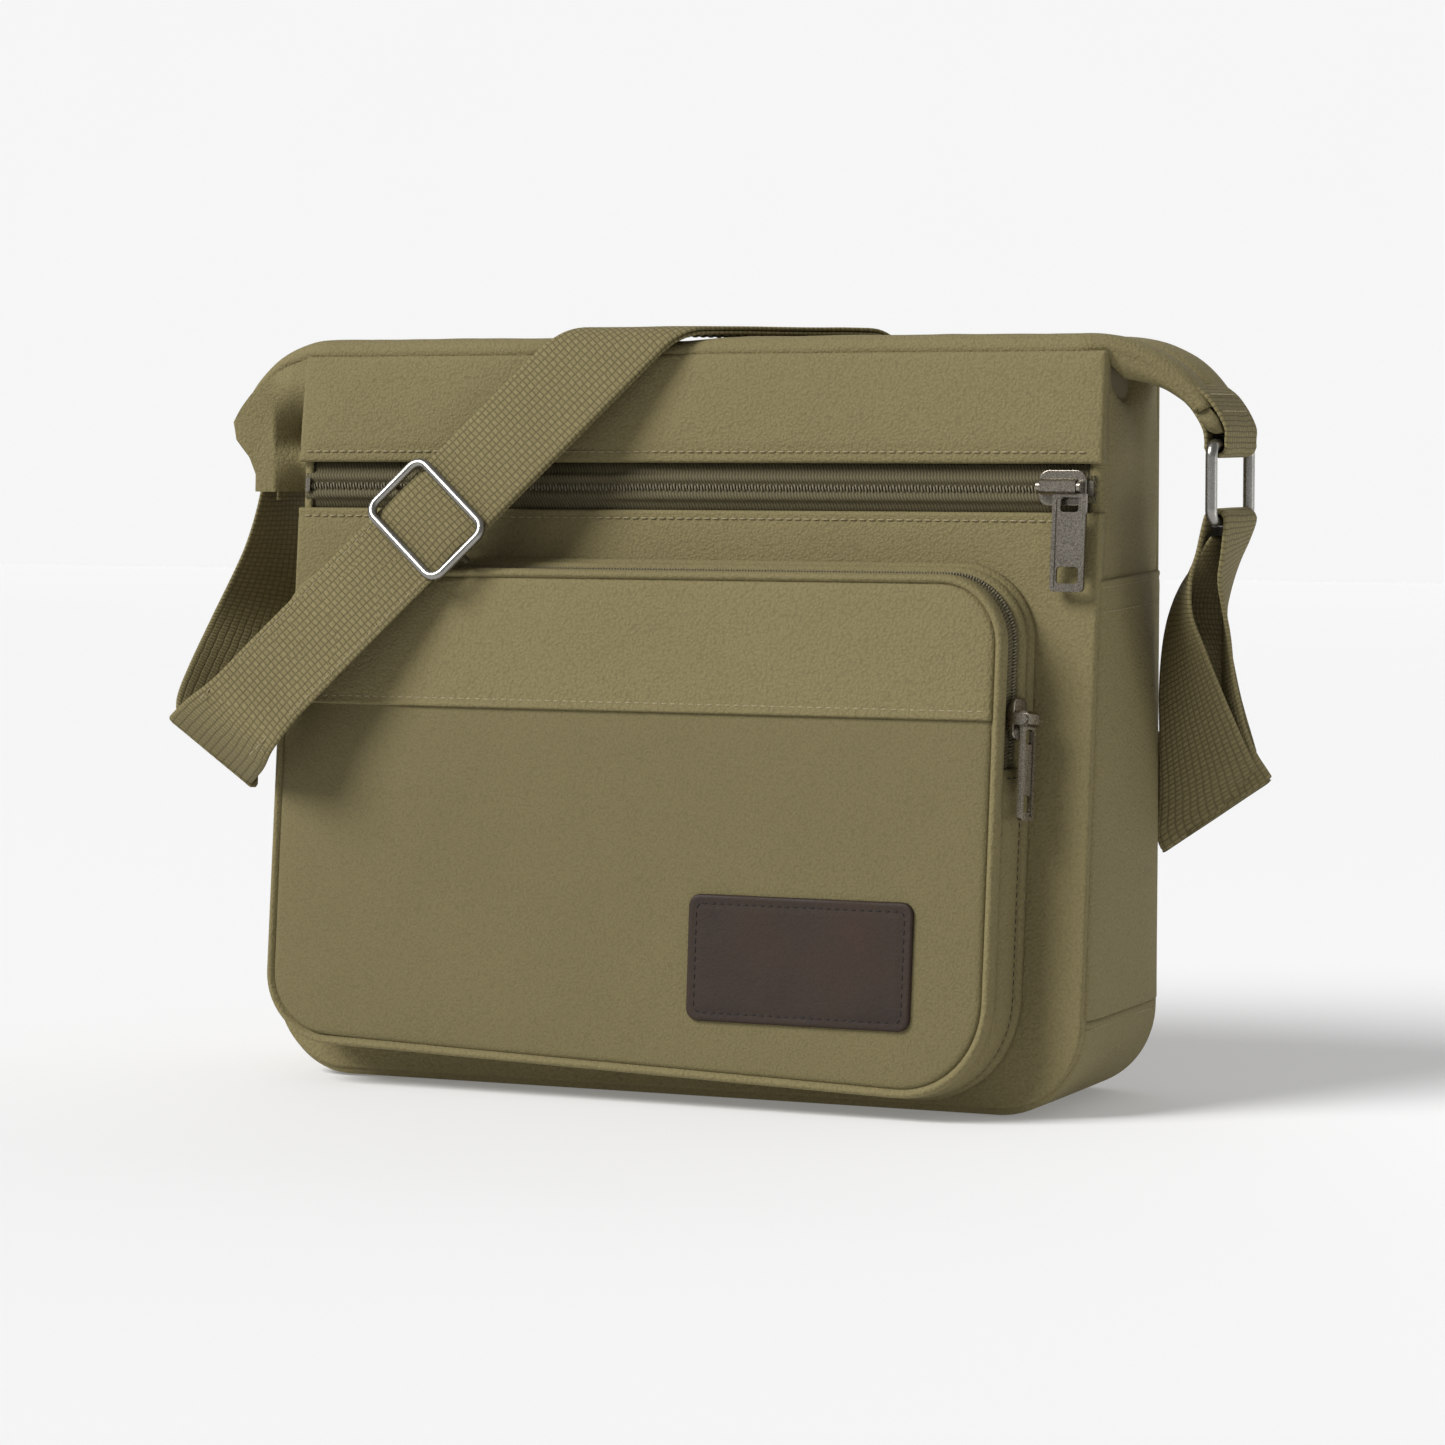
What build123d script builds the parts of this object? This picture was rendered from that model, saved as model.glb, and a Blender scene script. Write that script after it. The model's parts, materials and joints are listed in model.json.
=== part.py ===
"""A canvas messenger bag with a cargo pocket, three zips and an adjustable shoulder strap.

Millimetres, +Z up, front towards -Y. The origin is the middle of the base's resting face.
The front wall leans: it stands further forward at the base than at the top seam.
"""

from build123d import *
from math import atan, cos, degrees, radians, sin, tan
import os

os.makedirs("parts", exist_ok=True)

# ---------------------------------------------------------------- driving dimensions

body_width = 336.0
top_seam = 285.0                # height of the body walls
base_depth = 92.4               # front to back at the base
front_step_back = 28.8          # how far the front wall has moved back at the top seam
wall = 2.4                      # fabric, padding and backing together
corner_radius = 33.0            # bottom corners of the front and back panels
seam_gap = 0.2                  # space left between two sewn pieces
side_seam_height = 36.0         # where the base panel meets the gussets
piping_radius = 1.2

webbing_width = 40.0
webbing_thickness = 1.7
strap_thickness = 2 * webbing_thickness

top_crest = 288.0               # outer face of the top strips
ear_radius = 51.8               # the ears' downward curve, at the outer face
ear_angle = 61.0                # how far the curve runs, degrees
ear_start = 158.0               # where the flat top ends
ear_tip_depth = 40.0            # front to back at the tip of an ear
strip_gap = 10.0                # slot between the top strips, over the zip
top_zip_height = 279.3          # outer face of the top zip's tape
top_zip_half_length = 164.0

zip_height = 231.0              # middle of the front zip
zip_window_bottom = 222.0
zip_window_top = 240.0
zip_half_length = 165.0

pocket_left = -155.5            # front face of the cargo pocket
pocket_right = 138.5
pocket_bottom = 14.7
pocket_top = 196.7
pocket_depth = 26.8
pocket_corner = 24.0
pocket_spread = 5.0             # how much larger the pocket is at the body, on each side
pocket_yoke_height = 147.0
pocket_zip_end = 131.0          # lower end of the pocket zip on the right side
pocket_zip_start = -152.0       # its other end, along the top
pocket_zip_depth = 13.6         # the zip's place between body and pocket front
pocket_band = 4.5               # width of the piped band round the pocket front

ring_wire = 2.2                 # radius of the ring's wire
ring_inner_width = 42.0
ring_bar_spacing = 28.0         # from upper bar to lower bar, at their middles
ring_corner = 4.4
ring_right_pivot = (205.0, 247.0)
ring_left_pivot = (-191.0, 262.0)

adjuster_wire = 1.8
adjuster_length = 32.0          # along the strap, outside
adjuster_corner = 5.0
strap_rise = 0.40               # how much the strap's front run leans, y per z
strap_top_y = -21.8             # its middle plane at strap_top_z
strap_top_z = 292.0
strap_steepness = 1.095         # its rise for each millimetre to the right
adjuster_centre = (-94.0, 217.0)

# ---------------------------------------------------------------- planes and derived sizes

lean = atan(front_step_back / top_seam)
body_front = -base_depth / 2
body_back = base_depth / 2
top_front = body_front + front_step_back
top_middle = (top_front + body_back) / 2

front_plane = Plane(origin=(0, body_front, 0), x_dir=(1, 0, 0),
                    z_dir=(0, -cos(lean), sin(lean)))
front_inner = front_plane.offset(-wall - seam_gap)
back_inner = Plane.XZ.offset(-body_back + wall + seam_gap)


def slope(height):
    """Distance up the leaning front wall for a height above the floor."""
    return height / cos(lean)


def save(builder, name):
    """Label a finished sub-part and write its STEP file."""
    builder.part.label = name
    export_step(builder.part, "parts/" + name + ".step")


# ---------------------------------------------------------------- body walls

def body_outline(side_inset, bottom, top, radius):
    """The body seen from the front: square top corners and round bottom ones."""
    with BuildSketch() as outline:
        with Locations((0, bottom)):
            Rectangle(body_width - 2 * side_inset, top - bottom, align=(Align.CENTER, Align.MIN))
        fillet(outline.vertices().group_by(Axis.Y)[0], radius)
    return outline.sketch


edge = 2 * piping_radius + seam_gap + 0.1
with BuildPart() as front_panel:
    with BuildSketch(front_plane):
        add(body_outline(edge, edge, slope(zip_window_bottom), corner_radius - edge))
    extrude(amount=-wall)
save(front_panel, "front_panel")

with BuildPart() as front_yoke:
    with BuildSketch(front_plane):
        with Locations((0, slope(zip_window_top))):
            Rectangle(body_width - 2 * edge, slope(top_seam) - slope(zip_window_top),
                      align=(Align.CENTER, Align.MIN))
    extrude(amount=-wall)
save(front_yoke, "front_yoke")

with BuildPart() as back_panel:
    with BuildSketch(Plane.XZ.offset(-body_back)):
        add(body_outline(edge, edge, top_seam, corner_radius - edge))
    extrude(amount=wall)
save(back_panel, "back_panel")


def side_walls():
    """The U of gussets and base, between the front and back panels."""
    with BuildPart() as walls:
        with BuildSketch(Plane.XZ.offset(-body_back)):
            add(body_outline(0, 0, top_seam - 2, corner_radius))
            add(body_outline(wall, wall, top_seam, corner_radius - wall), mode=Mode.SUBTRACT)
        extrude(amount=base_depth)
        split(bisect_by=back_inner, keep=Keep.TOP)
        split(bisect_by=front_inner, keep=Keep.BOTTOM)
    return walls.part


with BuildPart() as bottom_panel:
    add(side_walls())
    split(bisect_by=Plane.XY.offset(side_seam_height), keep=Keep.BOTTOM)
save(bottom_panel, "bottom_panel")

for side, keep in (("left", Keep.BOTTOM), ("right", Keep.TOP)):
    with BuildPart() as gusset:
        add(side_walls())
        split(bisect_by=Plane.XY.offset(side_seam_height + seam_gap), keep=Keep.TOP)
        split(bisect_by=Plane.YZ, keep=keep)
    save(gusset, "gusset_" + side)


def piping_route(plane, bottom, top):
    """The seam line down one side, round the base and up the other."""
    reach = body_width / 2 - piping_radius
    with BuildLine(plane) as route:
        FilletPolyline((-reach, top), (-reach, bottom), (reach, bottom), (reach, top),
                       radius=corner_radius - piping_radius)
    return route.line


piping_top = top_seam - 2
front_piping_route = piping_route(front_plane.offset(-piping_radius),
                                  piping_radius + seam_gap, slope(piping_top))
back_piping_route = piping_route(Plane.XZ.offset(-body_back + piping_radius),
                                 piping_radius, piping_top)
for name, route in (("piping_front", front_piping_route), ("piping_back", back_piping_route)):
    with BuildPart() as piping:
        with BuildSketch(Plane(origin=route @ 0, z_dir=route % 0)):
            Circle(piping_radius)
        sweep(path=route)
    save(piping, name)

# ---------------------------------------------------------------- side slip pockets

side_pocket_top = 198.5
side_pocket_thickness = 1.5
side_pocket_inset = 3.0

for side, sign in (("left", -1), ("right", 1)):
    with BuildPart() as side_pocket:
        with BuildSketch(Plane.YZ.offset(sign * (body_width / 2 + seam_gap))):
            lean_at_top = (side_pocket_top / top_seam) * front_step_back
            lean_at_seam = (side_seam_height / top_seam) * front_step_back
            with BuildLine():
                Polyline((body_front + lean_at_seam + side_pocket_inset, side_seam_height + 1),
                         (body_back - side_pocket_inset, side_seam_height + 1),
                         (body_back - side_pocket_inset, side_pocket_top + 1),
                         (body_front + lean_at_top + side_pocket_inset, side_pocket_top - 1),
                         close=True)
            make_face()
        extrude(amount=sign * side_pocket_thickness)
    save(side_pocket, "side_pocket_" + side)

# ---------------------------------------------------------------- top strips and ears

def strip_profile():
    """Half of the top strip seen from the front: flat, then curving down to the ear's tip."""
    with BuildSketch() as profile:
        with BuildLine():
            outer = Line((0, top_crest), (ear_start, top_crest))
            outer_arc = JernArc(outer @ 1, (1, 0), ear_radius, -ear_angle)
            inner = Line((0, top_crest - wall), (ear_start, top_crest - wall))
            inner_arc = JernArc(inner @ 1, (1, 0), ear_radius - wall, -ear_angle)
            Line(outer @ 0, inner @ 0)
            Line(outer_arc @ 1, inner_arc @ 1)
        make_face()
        mirror(about=Plane.YZ)
    return profile.sketch


def ear_taper():
    """Plan of both top strips together, narrowing towards the ears."""
    reach = body_width / 2 + 42
    half_depth = (body_back - top_front) / 2
    with BuildSketch() as plan:
        with BuildLine():
            Polyline((ear_start, top_middle - half_depth),
                     (reach, top_middle - ear_tip_depth / 2),
                     (reach, top_middle + ear_tip_depth / 2),
                     (ear_start, top_middle + half_depth),
                     (-ear_start, top_middle + half_depth),
                     (-reach, top_middle + ear_tip_depth / 2),
                     (-reach, top_middle - ear_tip_depth / 2),
                     (-ear_start, top_middle - half_depth), close=True)
        make_face()
    return plan.sketch


strip_edges = {"front": (top_front, top_middle - strip_gap / 2),
               "back": (top_middle + strip_gap / 2, body_back)}
for side, (near, far) in strip_edges.items():
    with BuildPart() as top_strip:
        with BuildSketch(Plane.XZ.offset(-far)):
            add(strip_profile())
        extrude(amount=far - near)
        with BuildSketch(Plane.XY.offset(top_crest - 2 * ear_radius)):
            add(ear_taper())
        extrude(amount=3 * ear_radius, mode=Mode.INTERSECT)
    save(top_strip, "top_strip_" + side)

# ---------------------------------------------------------------- zips

tape_thickness = 0.8
tape_half_width = 8.8
coil_slit = 0.4                 # half the slit between the two rows of the coil
coil_reach = 2.6                # outer edge of a row, from the middle
coil_height = 1.6


def zip_rows(half_length, half_width):
    """Two long rows with the zip's slit between them."""
    with BuildSketch() as rows:
        Rectangle(2 * half_length, 2 * half_width)
        Rectangle(2 * half_length, 2 * coil_slit, mode=Mode.SUBTRACT)
    return rows.sketch


front_zip_plane = Plane(origin=front_plane.from_local_coords((0, slope(zip_height), -1.6)),
                        x_dir=(1, 0, 0), z_dir=front_plane.z_dir)
top_zip_plane = Plane(origin=(0, top_middle, top_zip_height), x_dir=(1, 0, 0), z_dir=(0, 0, 1))

with BuildPart() as front_zip_tape:
    with BuildSketch(front_zip_plane):
        add(zip_rows(zip_half_length, tape_half_width))
    extrude(amount=-tape_thickness)
save(front_zip_tape, "front_zip_tape")

with BuildPart() as front_zip_coil:
    with BuildSketch(front_zip_plane.offset(0.1)):
        add(zip_rows(zip_half_length - 3, coil_reach))
    extrude(amount=coil_height)
save(front_zip_coil, "front_zip_coil")

with BuildPart() as top_zip_tape:
    with BuildSketch(top_zip_plane):
        add(zip_rows(top_zip_half_length, tape_half_width + 4))
    extrude(amount=-tape_thickness)
save(top_zip_tape, "top_zip_tape")

with BuildPart() as top_zip_coil:
    with BuildSketch(top_zip_plane.offset(0.1)):
        add(zip_rows(top_zip_half_length - 3, coil_reach))
    extrude(amount=coil_height)
save(top_zip_coil, "top_zip_coil")


# A metal stop is clamped on the tapes at each end of a zip.
for name, plane, half_length in (("front_zip_stops", front_zip_plane, zip_half_length),
                                 ("top_zip_stops", top_zip_plane, top_zip_half_length)):
    with BuildPart() as zip_stops:
        with BuildSketch(plane.offset(0.1)):
            with Locations((-half_length + 1.6, 0), (half_length - 1.6, 0)):
                RectangleRounded(2.0, 5.6, 0.6)
        extrude(amount=1.8)
    save(zip_stops, name)

# ---------------------------------------------------------------- zip sliders and pulls

slider_clearance = 0.4
plate_thickness = 1.6
pin_radius = 1.1
pin_clearance = 0.08
barrel_radius = 3.0
post_thickness = 1.3
post_radius = 2.2
coil_top = 0.1 + coil_height


def pin_height():
    """Height of the pull's pin above the tape."""
    return coil_top + slider_clearance + plate_thickness + barrel_radius + slider_clearance


def slider_body(plane, length, width, barrel_length, pin_along_zip):
    """A slider on a zip whose tape lies under the plane, with x along the zip."""
    plate_under = coil_top + slider_clearance
    with BuildPart() as slider:
        with BuildSketch(plane.offset(plate_under)):
            RectangleRounded(length, width, width * 0.3)
        extrude(amount=plate_thickness)
        fillet(faces().sort_by(Axis(plane.origin, plane.z_dir))[-1].edges(), 0.5)
        with BuildSketch(plane.offset(-tape_thickness - slider_clearance)):
            RectangleRounded(length * 0.9, width * 0.8, width * 0.25)
        extrude(amount=-plate_thickness)
        with BuildSketch(plane.offset(-tape_thickness - slider_clearance)):
            Rectangle(length * 0.3, coil_slit)
        extrude(amount=tape_thickness + slider_clearance + plate_under)
        with BuildSketch(plane.offset(plate_under)):
            with Locations((0, width / 2 - 0.5), (0, -width / 2 + 0.5)):
                Rectangle(length * 0.55, 1.0)
        extrude(amount=-plate_under + slider_clearance)
        add(slider_bridge(plane, barrel_length, plate_under, pin_along_zip))
    return slider.part


def slider_bridge(plane, barrel_length, plate_under, pin_along_zip):
    """Two posts that stand on a slider, with the pull's pin between them."""
    reach = barrel_length / 2 + 0.2 + post_thickness
    if pin_along_zip:
        cross = Plane(origin=plane.origin, x_dir=plane.y_dir, z_dir=plane.x_dir)
    else:
        cross = Plane(origin=plane.origin, x_dir=-plane.x_dir, z_dir=plane.y_dir)
    with BuildPart() as bridge:
        for start in (-reach, reach - post_thickness):
            with BuildSketch(cross.offset(start)):
                with Locations((0, (plate_under + pin_height() + 0.8) / 2)):
                    Rectangle(2 * post_radius, pin_height() - plate_under - 0.8)
                with Locations((0, pin_height())):
                    Circle(post_radius)
            extrude(amount=post_thickness)
        with BuildSketch(cross.offset(-reach)):
            with Locations((0, pin_height())):
                Circle(pin_radius)
        extrude(amount=2 * reach)
    return bridge.part


def pull_tab(plane, barrel_length, width, length, shift):
    """A pull on its pin: plane at the pin, x along the pin, y up the pull, z outward."""
    cross = Plane(origin=plane.origin, x_dir=plane.y_dir, z_dir=plane.x_dir)
    pull_thickness = 1.8
    window = (0.54 * width, 5.4)
    top = -post_radius - 0.3
    with BuildPart() as pull:
        with BuildSketch(cross.offset(-barrel_length / 2)):
            Circle(barrel_radius)
        extrude(amount=barrel_length)
        with BuildSketch(plane.offset(-pull_thickness / 2)):
            with Locations((shift, top)):
                Rectangle(width, length - 2.0, align=(Align.CENTER, Align.MAX))
            with Locations((shift, top - length / 2)):
                RectangleRounded(width, length, 1.6)
        extrude(amount=pull_thickness)
        with BuildSketch(plane.offset(pull_thickness / 2)):
            with Locations((shift, top - length / 2)):
                RectangleRounded(width - 3.0, length - 3.0, 0.9)
        extrude(amount=-0.45, mode=Mode.SUBTRACT)
        with BuildSketch(plane.offset(-pull_thickness)):
            with Locations((shift, -barrel_radius - 0.8 - window[1] / 2)):
                RectangleRounded(window[0], window[1], 1.2)
            with Locations((shift, top - length + 3.4 + window[1] / 2)):
                RectangleRounded(0.66 * width, window[1] + 0.8, 1.4)
        extrude(amount=2 * pull_thickness, mode=Mode.SUBTRACT)
        with BuildSketch(cross.offset(-barrel_length)):
            Circle(pin_radius + pin_clearance)
        extrude(amount=2 * barrel_length, mode=Mode.SUBTRACT)
        with BuildSketch(plane.offset(barrel_radius - 0.6)):
            Rectangle(2 * barrel_length, 2 * barrel_radius)
        extrude(amount=barrel_radius, mode=Mode.SUBTRACT)
    return pull.part


front_slider_rest = 153.0
front_slider_plane = Plane(origin=front_zip_plane.from_local_coords((front_slider_rest, 0, 0)),
                           x_dir=(1, 0, 0), z_dir=front_plane.z_dir)
front_barrel = 14.0
with BuildPart() as front_slider:
    add(slider_body(front_slider_plane, 18.5, 13.4, front_barrel, True))
save(front_slider, "front_slider")

with BuildPart() as front_pull:
    add(pull_tab(front_slider_plane.offset(pin_height()), front_barrel, 13.0, 36.0, 4.4))
save(front_pull, "front_pull")

# The pocket's side wall leans inward, so its slider stands on a plane of its own.
pocket_taper = atan(pocket_spread / pocket_depth)
side_x_dir = front_plane.y_dir
side_normal = front_plane.x_dir * cos(pocket_taper) + front_plane.z_dir * sin(pocket_taper)
pocket_slider_rest = 145.6
zip_spread = (pocket_depth - pocket_zip_depth) * tan(pocket_taper)
pocket_slider_plane = Plane(
    origin=front_plane.from_local_coords(
        (pocket_right + zip_spread, slope(pocket_slider_rest), pocket_zip_depth)),
    x_dir=side_x_dir, z_dir=side_normal)
pocket_barrel = 8.0
with BuildPart() as pocket_slider:
    add(slider_body(pocket_slider_plane, 15.5, 9.6, pocket_barrel, False))
save(pocket_slider, "pocket_slider")

pocket_pin_plane = Plane(origin=pocket_slider_plane.offset(pin_height()).origin,
                         x_dir=-pocket_slider_plane.y_dir, z_dir=side_normal)
with BuildPart() as pocket_pull:
    add(pull_tab(pocket_pin_plane, pocket_barrel, 8.6, 34.5, 0))
save(pocket_pull, "pocket_pull")

top_slider_rest = -150.0
top_slider_plane = Plane(origin=top_zip_plane.from_local_coords((top_slider_rest, 0, 0)),
                         x_dir=(-1, 0, 0), z_dir=(0, 0, 1))
top_barrel = 5.0
with BuildPart() as top_slider:
    add(slider_body(top_slider_plane, 13.0, 9.0, top_barrel, False))
save(top_slider, "top_slider")

top_pin_plane = Plane(origin=top_slider_plane.offset(pin_height()).origin,
                      x_dir=top_slider_plane.y_dir, z_dir=(0, 0, 1))
with BuildPart() as top_pull:
    add(pull_tab(top_pin_plane, top_barrel, 7.4, 28.0, 0))
save(top_pull, "top_pull")

# ---------------------------------------------------------------- cargo pocket

def pocket_outline(depth, grow):
    """Outline of the cargo pocket at a depth from the body, grown outward by a margin."""
    out = (pocket_depth - depth) * tan(pocket_taper) + grow
    width = pocket_right - pocket_left + 2 * out
    height = slope(pocket_top) - slope(pocket_bottom) + 2 * out
    middle = ((pocket_left + pocket_right) / 2, (slope(pocket_top) + slope(pocket_bottom)) / 2)
    with BuildSketch() as outline:
        with Locations(middle):
            RectangleRounded(width, height, pocket_corner + out)
    return outline.sketch


def pocket_ring(near, far, outer, inner):
    """A tapered ring of the pocket's wall between two depths."""
    with BuildPart() as ring_wall:
        for grow, mode in ((outer, Mode.ADD), (inner, Mode.SUBTRACT)):
            for depth in (near, far):
                with BuildSketch(front_plane.offset(depth)):
                    add(pocket_outline(depth, grow))
            loft(mode=mode)
    return ring_wall.part


def zip_run(margin):
    """A block round the stretch of the pocket's wall that the zip runs along."""
    low = slope(pocket_zip_end) - margin
    left = pocket_zip_start - margin
    with BuildPart() as block:
        with BuildSketch(front_plane.offset(-1)):
            with Locations((left, low)):
                Rectangle(pocket_right - left + 40, slope(top_seam) - low,
                          align=(Align.MIN, Align.MIN))
        extrude(amount=pocket_depth + 10)
    return block.part


pocket_wall = 1.6
tape_near = 8.4
tape_far = 18.6
band_near = 18.8
slit_near = 0.6                 # the slider's web leans across the slit in the coil
slit_far = 1.0
front_slab = 2.0

with BuildPart() as pocket_gusset:
    add(pocket_ring(0.3, band_near - seam_gap, 0, -pocket_wall))
    add(zip_run(seam_gap), mode=Mode.SUBTRACT)
save(pocket_gusset, "pocket_gusset")

with BuildPart() as pocket_top_gusset:
    add(pocket_ring(0.3, tape_near - seam_gap, 0, -pocket_wall))
    add(zip_run(0), mode=Mode.INTERSECT)
save(pocket_top_gusset, "pocket_top_gusset")

with BuildPart() as pocket_zip_tape:
    add(pocket_ring(tape_near, pocket_zip_depth - slit_near, -0.1, -0.1 - tape_thickness))
    add(pocket_ring(pocket_zip_depth + slit_near, tape_far, -0.1, -0.1 - tape_thickness))
    add(zip_run(0), mode=Mode.INTERSECT)
save(pocket_zip_tape, "pocket_zip_tape")

with BuildPart() as pocket_zip_coil:
    add(pocket_ring(pocket_zip_depth - coil_reach, pocket_zip_depth - slit_near,
                    coil_height, 0.1))
    add(pocket_ring(pocket_zip_depth + slit_far, pocket_zip_depth + coil_reach + 0.5,
                    coil_height, 0.1))
    add(zip_run(-3), mode=Mode.INTERSECT)
save(pocket_zip_coil, "pocket_zip_coil")

with BuildPart() as pocket_band_ring:
    add(pocket_ring(band_near, pocket_depth - 0.6, 0, -pocket_band))
save(pocket_band_ring, "pocket_band")

with BuildPart() as pocket_front:
    with BuildSketch(front_plane.offset(pocket_depth - front_slab)):
        add(pocket_outline(pocket_depth, -pocket_band - seam_gap))
        with Locations((0, slope(pocket_yoke_height) - seam_gap)):
            Rectangle(2 * body_width, body_width, align=(Align.CENTER, Align.MIN),
                      mode=Mode.SUBTRACT)
    extrude(amount=front_slab)
save(pocket_front, "pocket_front")

with BuildPart() as pocket_yoke:
    with BuildSketch(front_plane.offset(pocket_depth - front_slab)):
        add(pocket_outline(pocket_depth, -pocket_band - seam_gap))
        with Locations((0, slope(pocket_yoke_height))):
            Rectangle(2 * body_width, body_width, align=(Align.CENTER, Align.MAX),
                      mode=Mode.SUBTRACT)
    extrude(amount=front_slab)
save(pocket_yoke, "pocket_yoke")

patch_left = 22.0
patch_right = 111.5
patch_bottom = 33.4
patch_top = 80.3
with BuildPart() as leather_patch:
    with BuildSketch(front_plane.offset(pocket_depth + 0.1)):
        with Locations(((patch_left + patch_right) / 2, slope((patch_bottom + patch_top) / 2))):
            RectangleRounded(patch_right - patch_left, slope(patch_top - patch_bottom), 4.5)
    extrude(amount=1.6)
    fillet(faces().sort_by(Axis(front_plane.origin, front_plane.z_dir))[-1].edges(), 0.6)
save(leather_patch, "leather_patch")

# ---------------------------------------------------------------- inside the bag

board_thickness = 2.0
board_width = 262.0
lining_thickness = 0.6
lining_front_depth = 7.4        # the lining stands this far behind the front wall's outside
lining_back = body_back - wall - 2.6
lining_bottom = wall + board_thickness + 0.6
lining_side = wall + 0.6
lining_front_plane = front_plane.offset(-lining_front_depth)

with BuildPart() as base_board:
    with BuildSketch(Plane.XY.offset(wall + seam_gap)):
        RectangleRounded(board_width, base_depth - 4 * wall - 4, 6)
    extrude(amount=board_thickness)
save(base_board, "base_board")


def lining_block(inset):
    """The space that the lining takes up, smaller by an inset."""
    with BuildPart() as block:
        with BuildSketch(Plane.XZ.offset(-lining_back + inset)):
            add(body_outline(lining_side + inset, lining_bottom + inset,
                             top_zip_height - 4 + 2 * inset, corner_radius - lining_side - 1))
        extrude(amount=base_depth + 10)
        split(bisect_by=lining_front_plane.offset(-inset), keep=Keep.BOTTOM)
    return block.part


with BuildPart() as lining:
    add(lining_block(0))
    add(lining_block(lining_thickness), mode=Mode.SUBTRACT)
save(lining, "lining")

with BuildPart() as back_foam:
    with BuildSketch(Plane.XZ.offset(-body_back + wall + seam_gap)):
        with Locations((0, 145)):
            RectangleRounded(300, 250, 12)
    extrude(amount=2.0)
save(back_foam, "back_foam")

with BuildPart() as zip_pocket_sheet:
    with BuildSketch(front_plane.offset(-lining_front_depth + 0.9)):
        with Locations((0, slope(150))):
            RectangleRounded(300, slope(180), 14)
    extrude(amount=0.7)
save(zip_pocket_sheet, "zip_pocket_sheet")

sleeve_gap = 7.0
sleeve_thickness = 3.0
sleeve_top = 190.0
sleeve_bottom = lining_bottom + 1.0
with BuildPart() as inner_sleeve:
    with BuildSketch(Plane.XZ.offset(-lining_back + sleeve_gap)):
        add(body_outline(lining_side + 4, sleeve_bottom, sleeve_top, corner_radius - 6))
    extrude(amount=sleeve_thickness)
save(inner_sleeve, "inner_sleeve")

# ---------------------------------------------------------------- rings and their tabs

def wire_frame(plane, half_length, half_width, corner, wire):
    """A rounded rectangle of round wire, lying in a plane."""
    with BuildSketch(plane) as outline:
        RectangleRounded(2 * half_length, 2 * half_width, corner)
    route = outline.sketch.faces()[0].outer_wire()
    with BuildPart() as frame:
        with BuildSketch(Plane(origin=route @ 0, z_dir=route % 0)):
            Circle(wire)
        sweep(path=route)
    return frame.part


loop_clearance = 0.3


def loop(bar_x, bar_z, reach, width):
    """A loop of webbing round a bar along Y, reaching up, or down if reach is negative."""
    inner = ring_wire + loop_clearance
    with BuildPart() as webbing:
        with BuildSketch(Plane.XZ.offset(-top_middle - width / 2)):
            with Locations((bar_x, bar_z + reach / 2)):
                SlotCenterToCenter(abs(reach), 2 * (inner + webbing_thickness), rotation=90)
                SlotCenterToCenter(abs(reach), 2 * inner, rotation=90, mode=Mode.SUBTRACT)
        extrude(amount=width)
    return webbing.part


tab_width = 37.0
ring_pivots = {"left": ring_left_pivot, "right": ring_right_pivot}
tab_reach = {"left": 2.0, "right": 7.5}
for side, (pivot_x, pivot_z) in ring_pivots.items():
    ring_plane = Plane(origin=(pivot_x, top_middle, pivot_z - ring_bar_spacing / 2),
                       x_dir=(0, 0, 1), z_dir=(1, 0, 0))
    with BuildPart() as ring:
        add(wire_frame(ring_plane, ring_bar_spacing / 2, ring_inner_width / 2 + ring_wire,
                       ring_corner, ring_wire))
    save(ring, "ring_" + side)
    with BuildPart() as ring_tab:
        add(loop(pivot_x, pivot_z, tab_reach[side], tab_width))
    save(ring_tab, "ring_tab_" + side)

# ---------------------------------------------------------------- strap

along = Vector(1, strap_rise * strap_steepness, strap_steepness).normalized()
outward = Vector(0, -1, strap_rise).normalized()
adjuster_plane = Plane(
    origin=(adjuster_centre[0], strap_top_y - strap_rise * (strap_top_z - adjuster_centre[1]),
            adjuster_centre[1]),
    x_dir=along, z_dir=outward)
run_up = 125.0                  # the flat run above the adjuster's middle, before it is trimmed
run_down = 96.0                 # and below it
run_trim_height = 287.6         # it ends level with the top of the bag

with BuildPart() as strap_front:
    with BuildSketch(adjuster_plane.offset(-strap_thickness / 2)):
        with Locations(((run_up - run_down) / 2, 0)):
            Rectangle(run_up + run_down, webbing_width)
    extrude(amount=strap_thickness)
    split(bisect_by=Plane.XY.offset(run_trim_height), keep=Keep.BOTTOM)
save(strap_front, "strap_front")


def ribbon(stations, thickness):
    """A strap lofted through pairs of edge points."""
    middles = [(Vector(a) + Vector(b)) / 2 for a, b in stations]
    with BuildPart() as strap:
        for index, (a, b) in enumerate(stations):
            across = Vector(b) - Vector(a)
            unit = across.normalized()
            travel = middles[min(index + 1, len(middles) - 1)] - middles[max(index - 1, 0)]
            travel = travel - unit * travel.dot(unit)
            with BuildSketch(Plane(origin=middles[index], x_dir=unit, z_dir=travel.normalized())):
                Rectangle(across.length, thickness)
        loft(ruled=True)
    return strap.part


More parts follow.
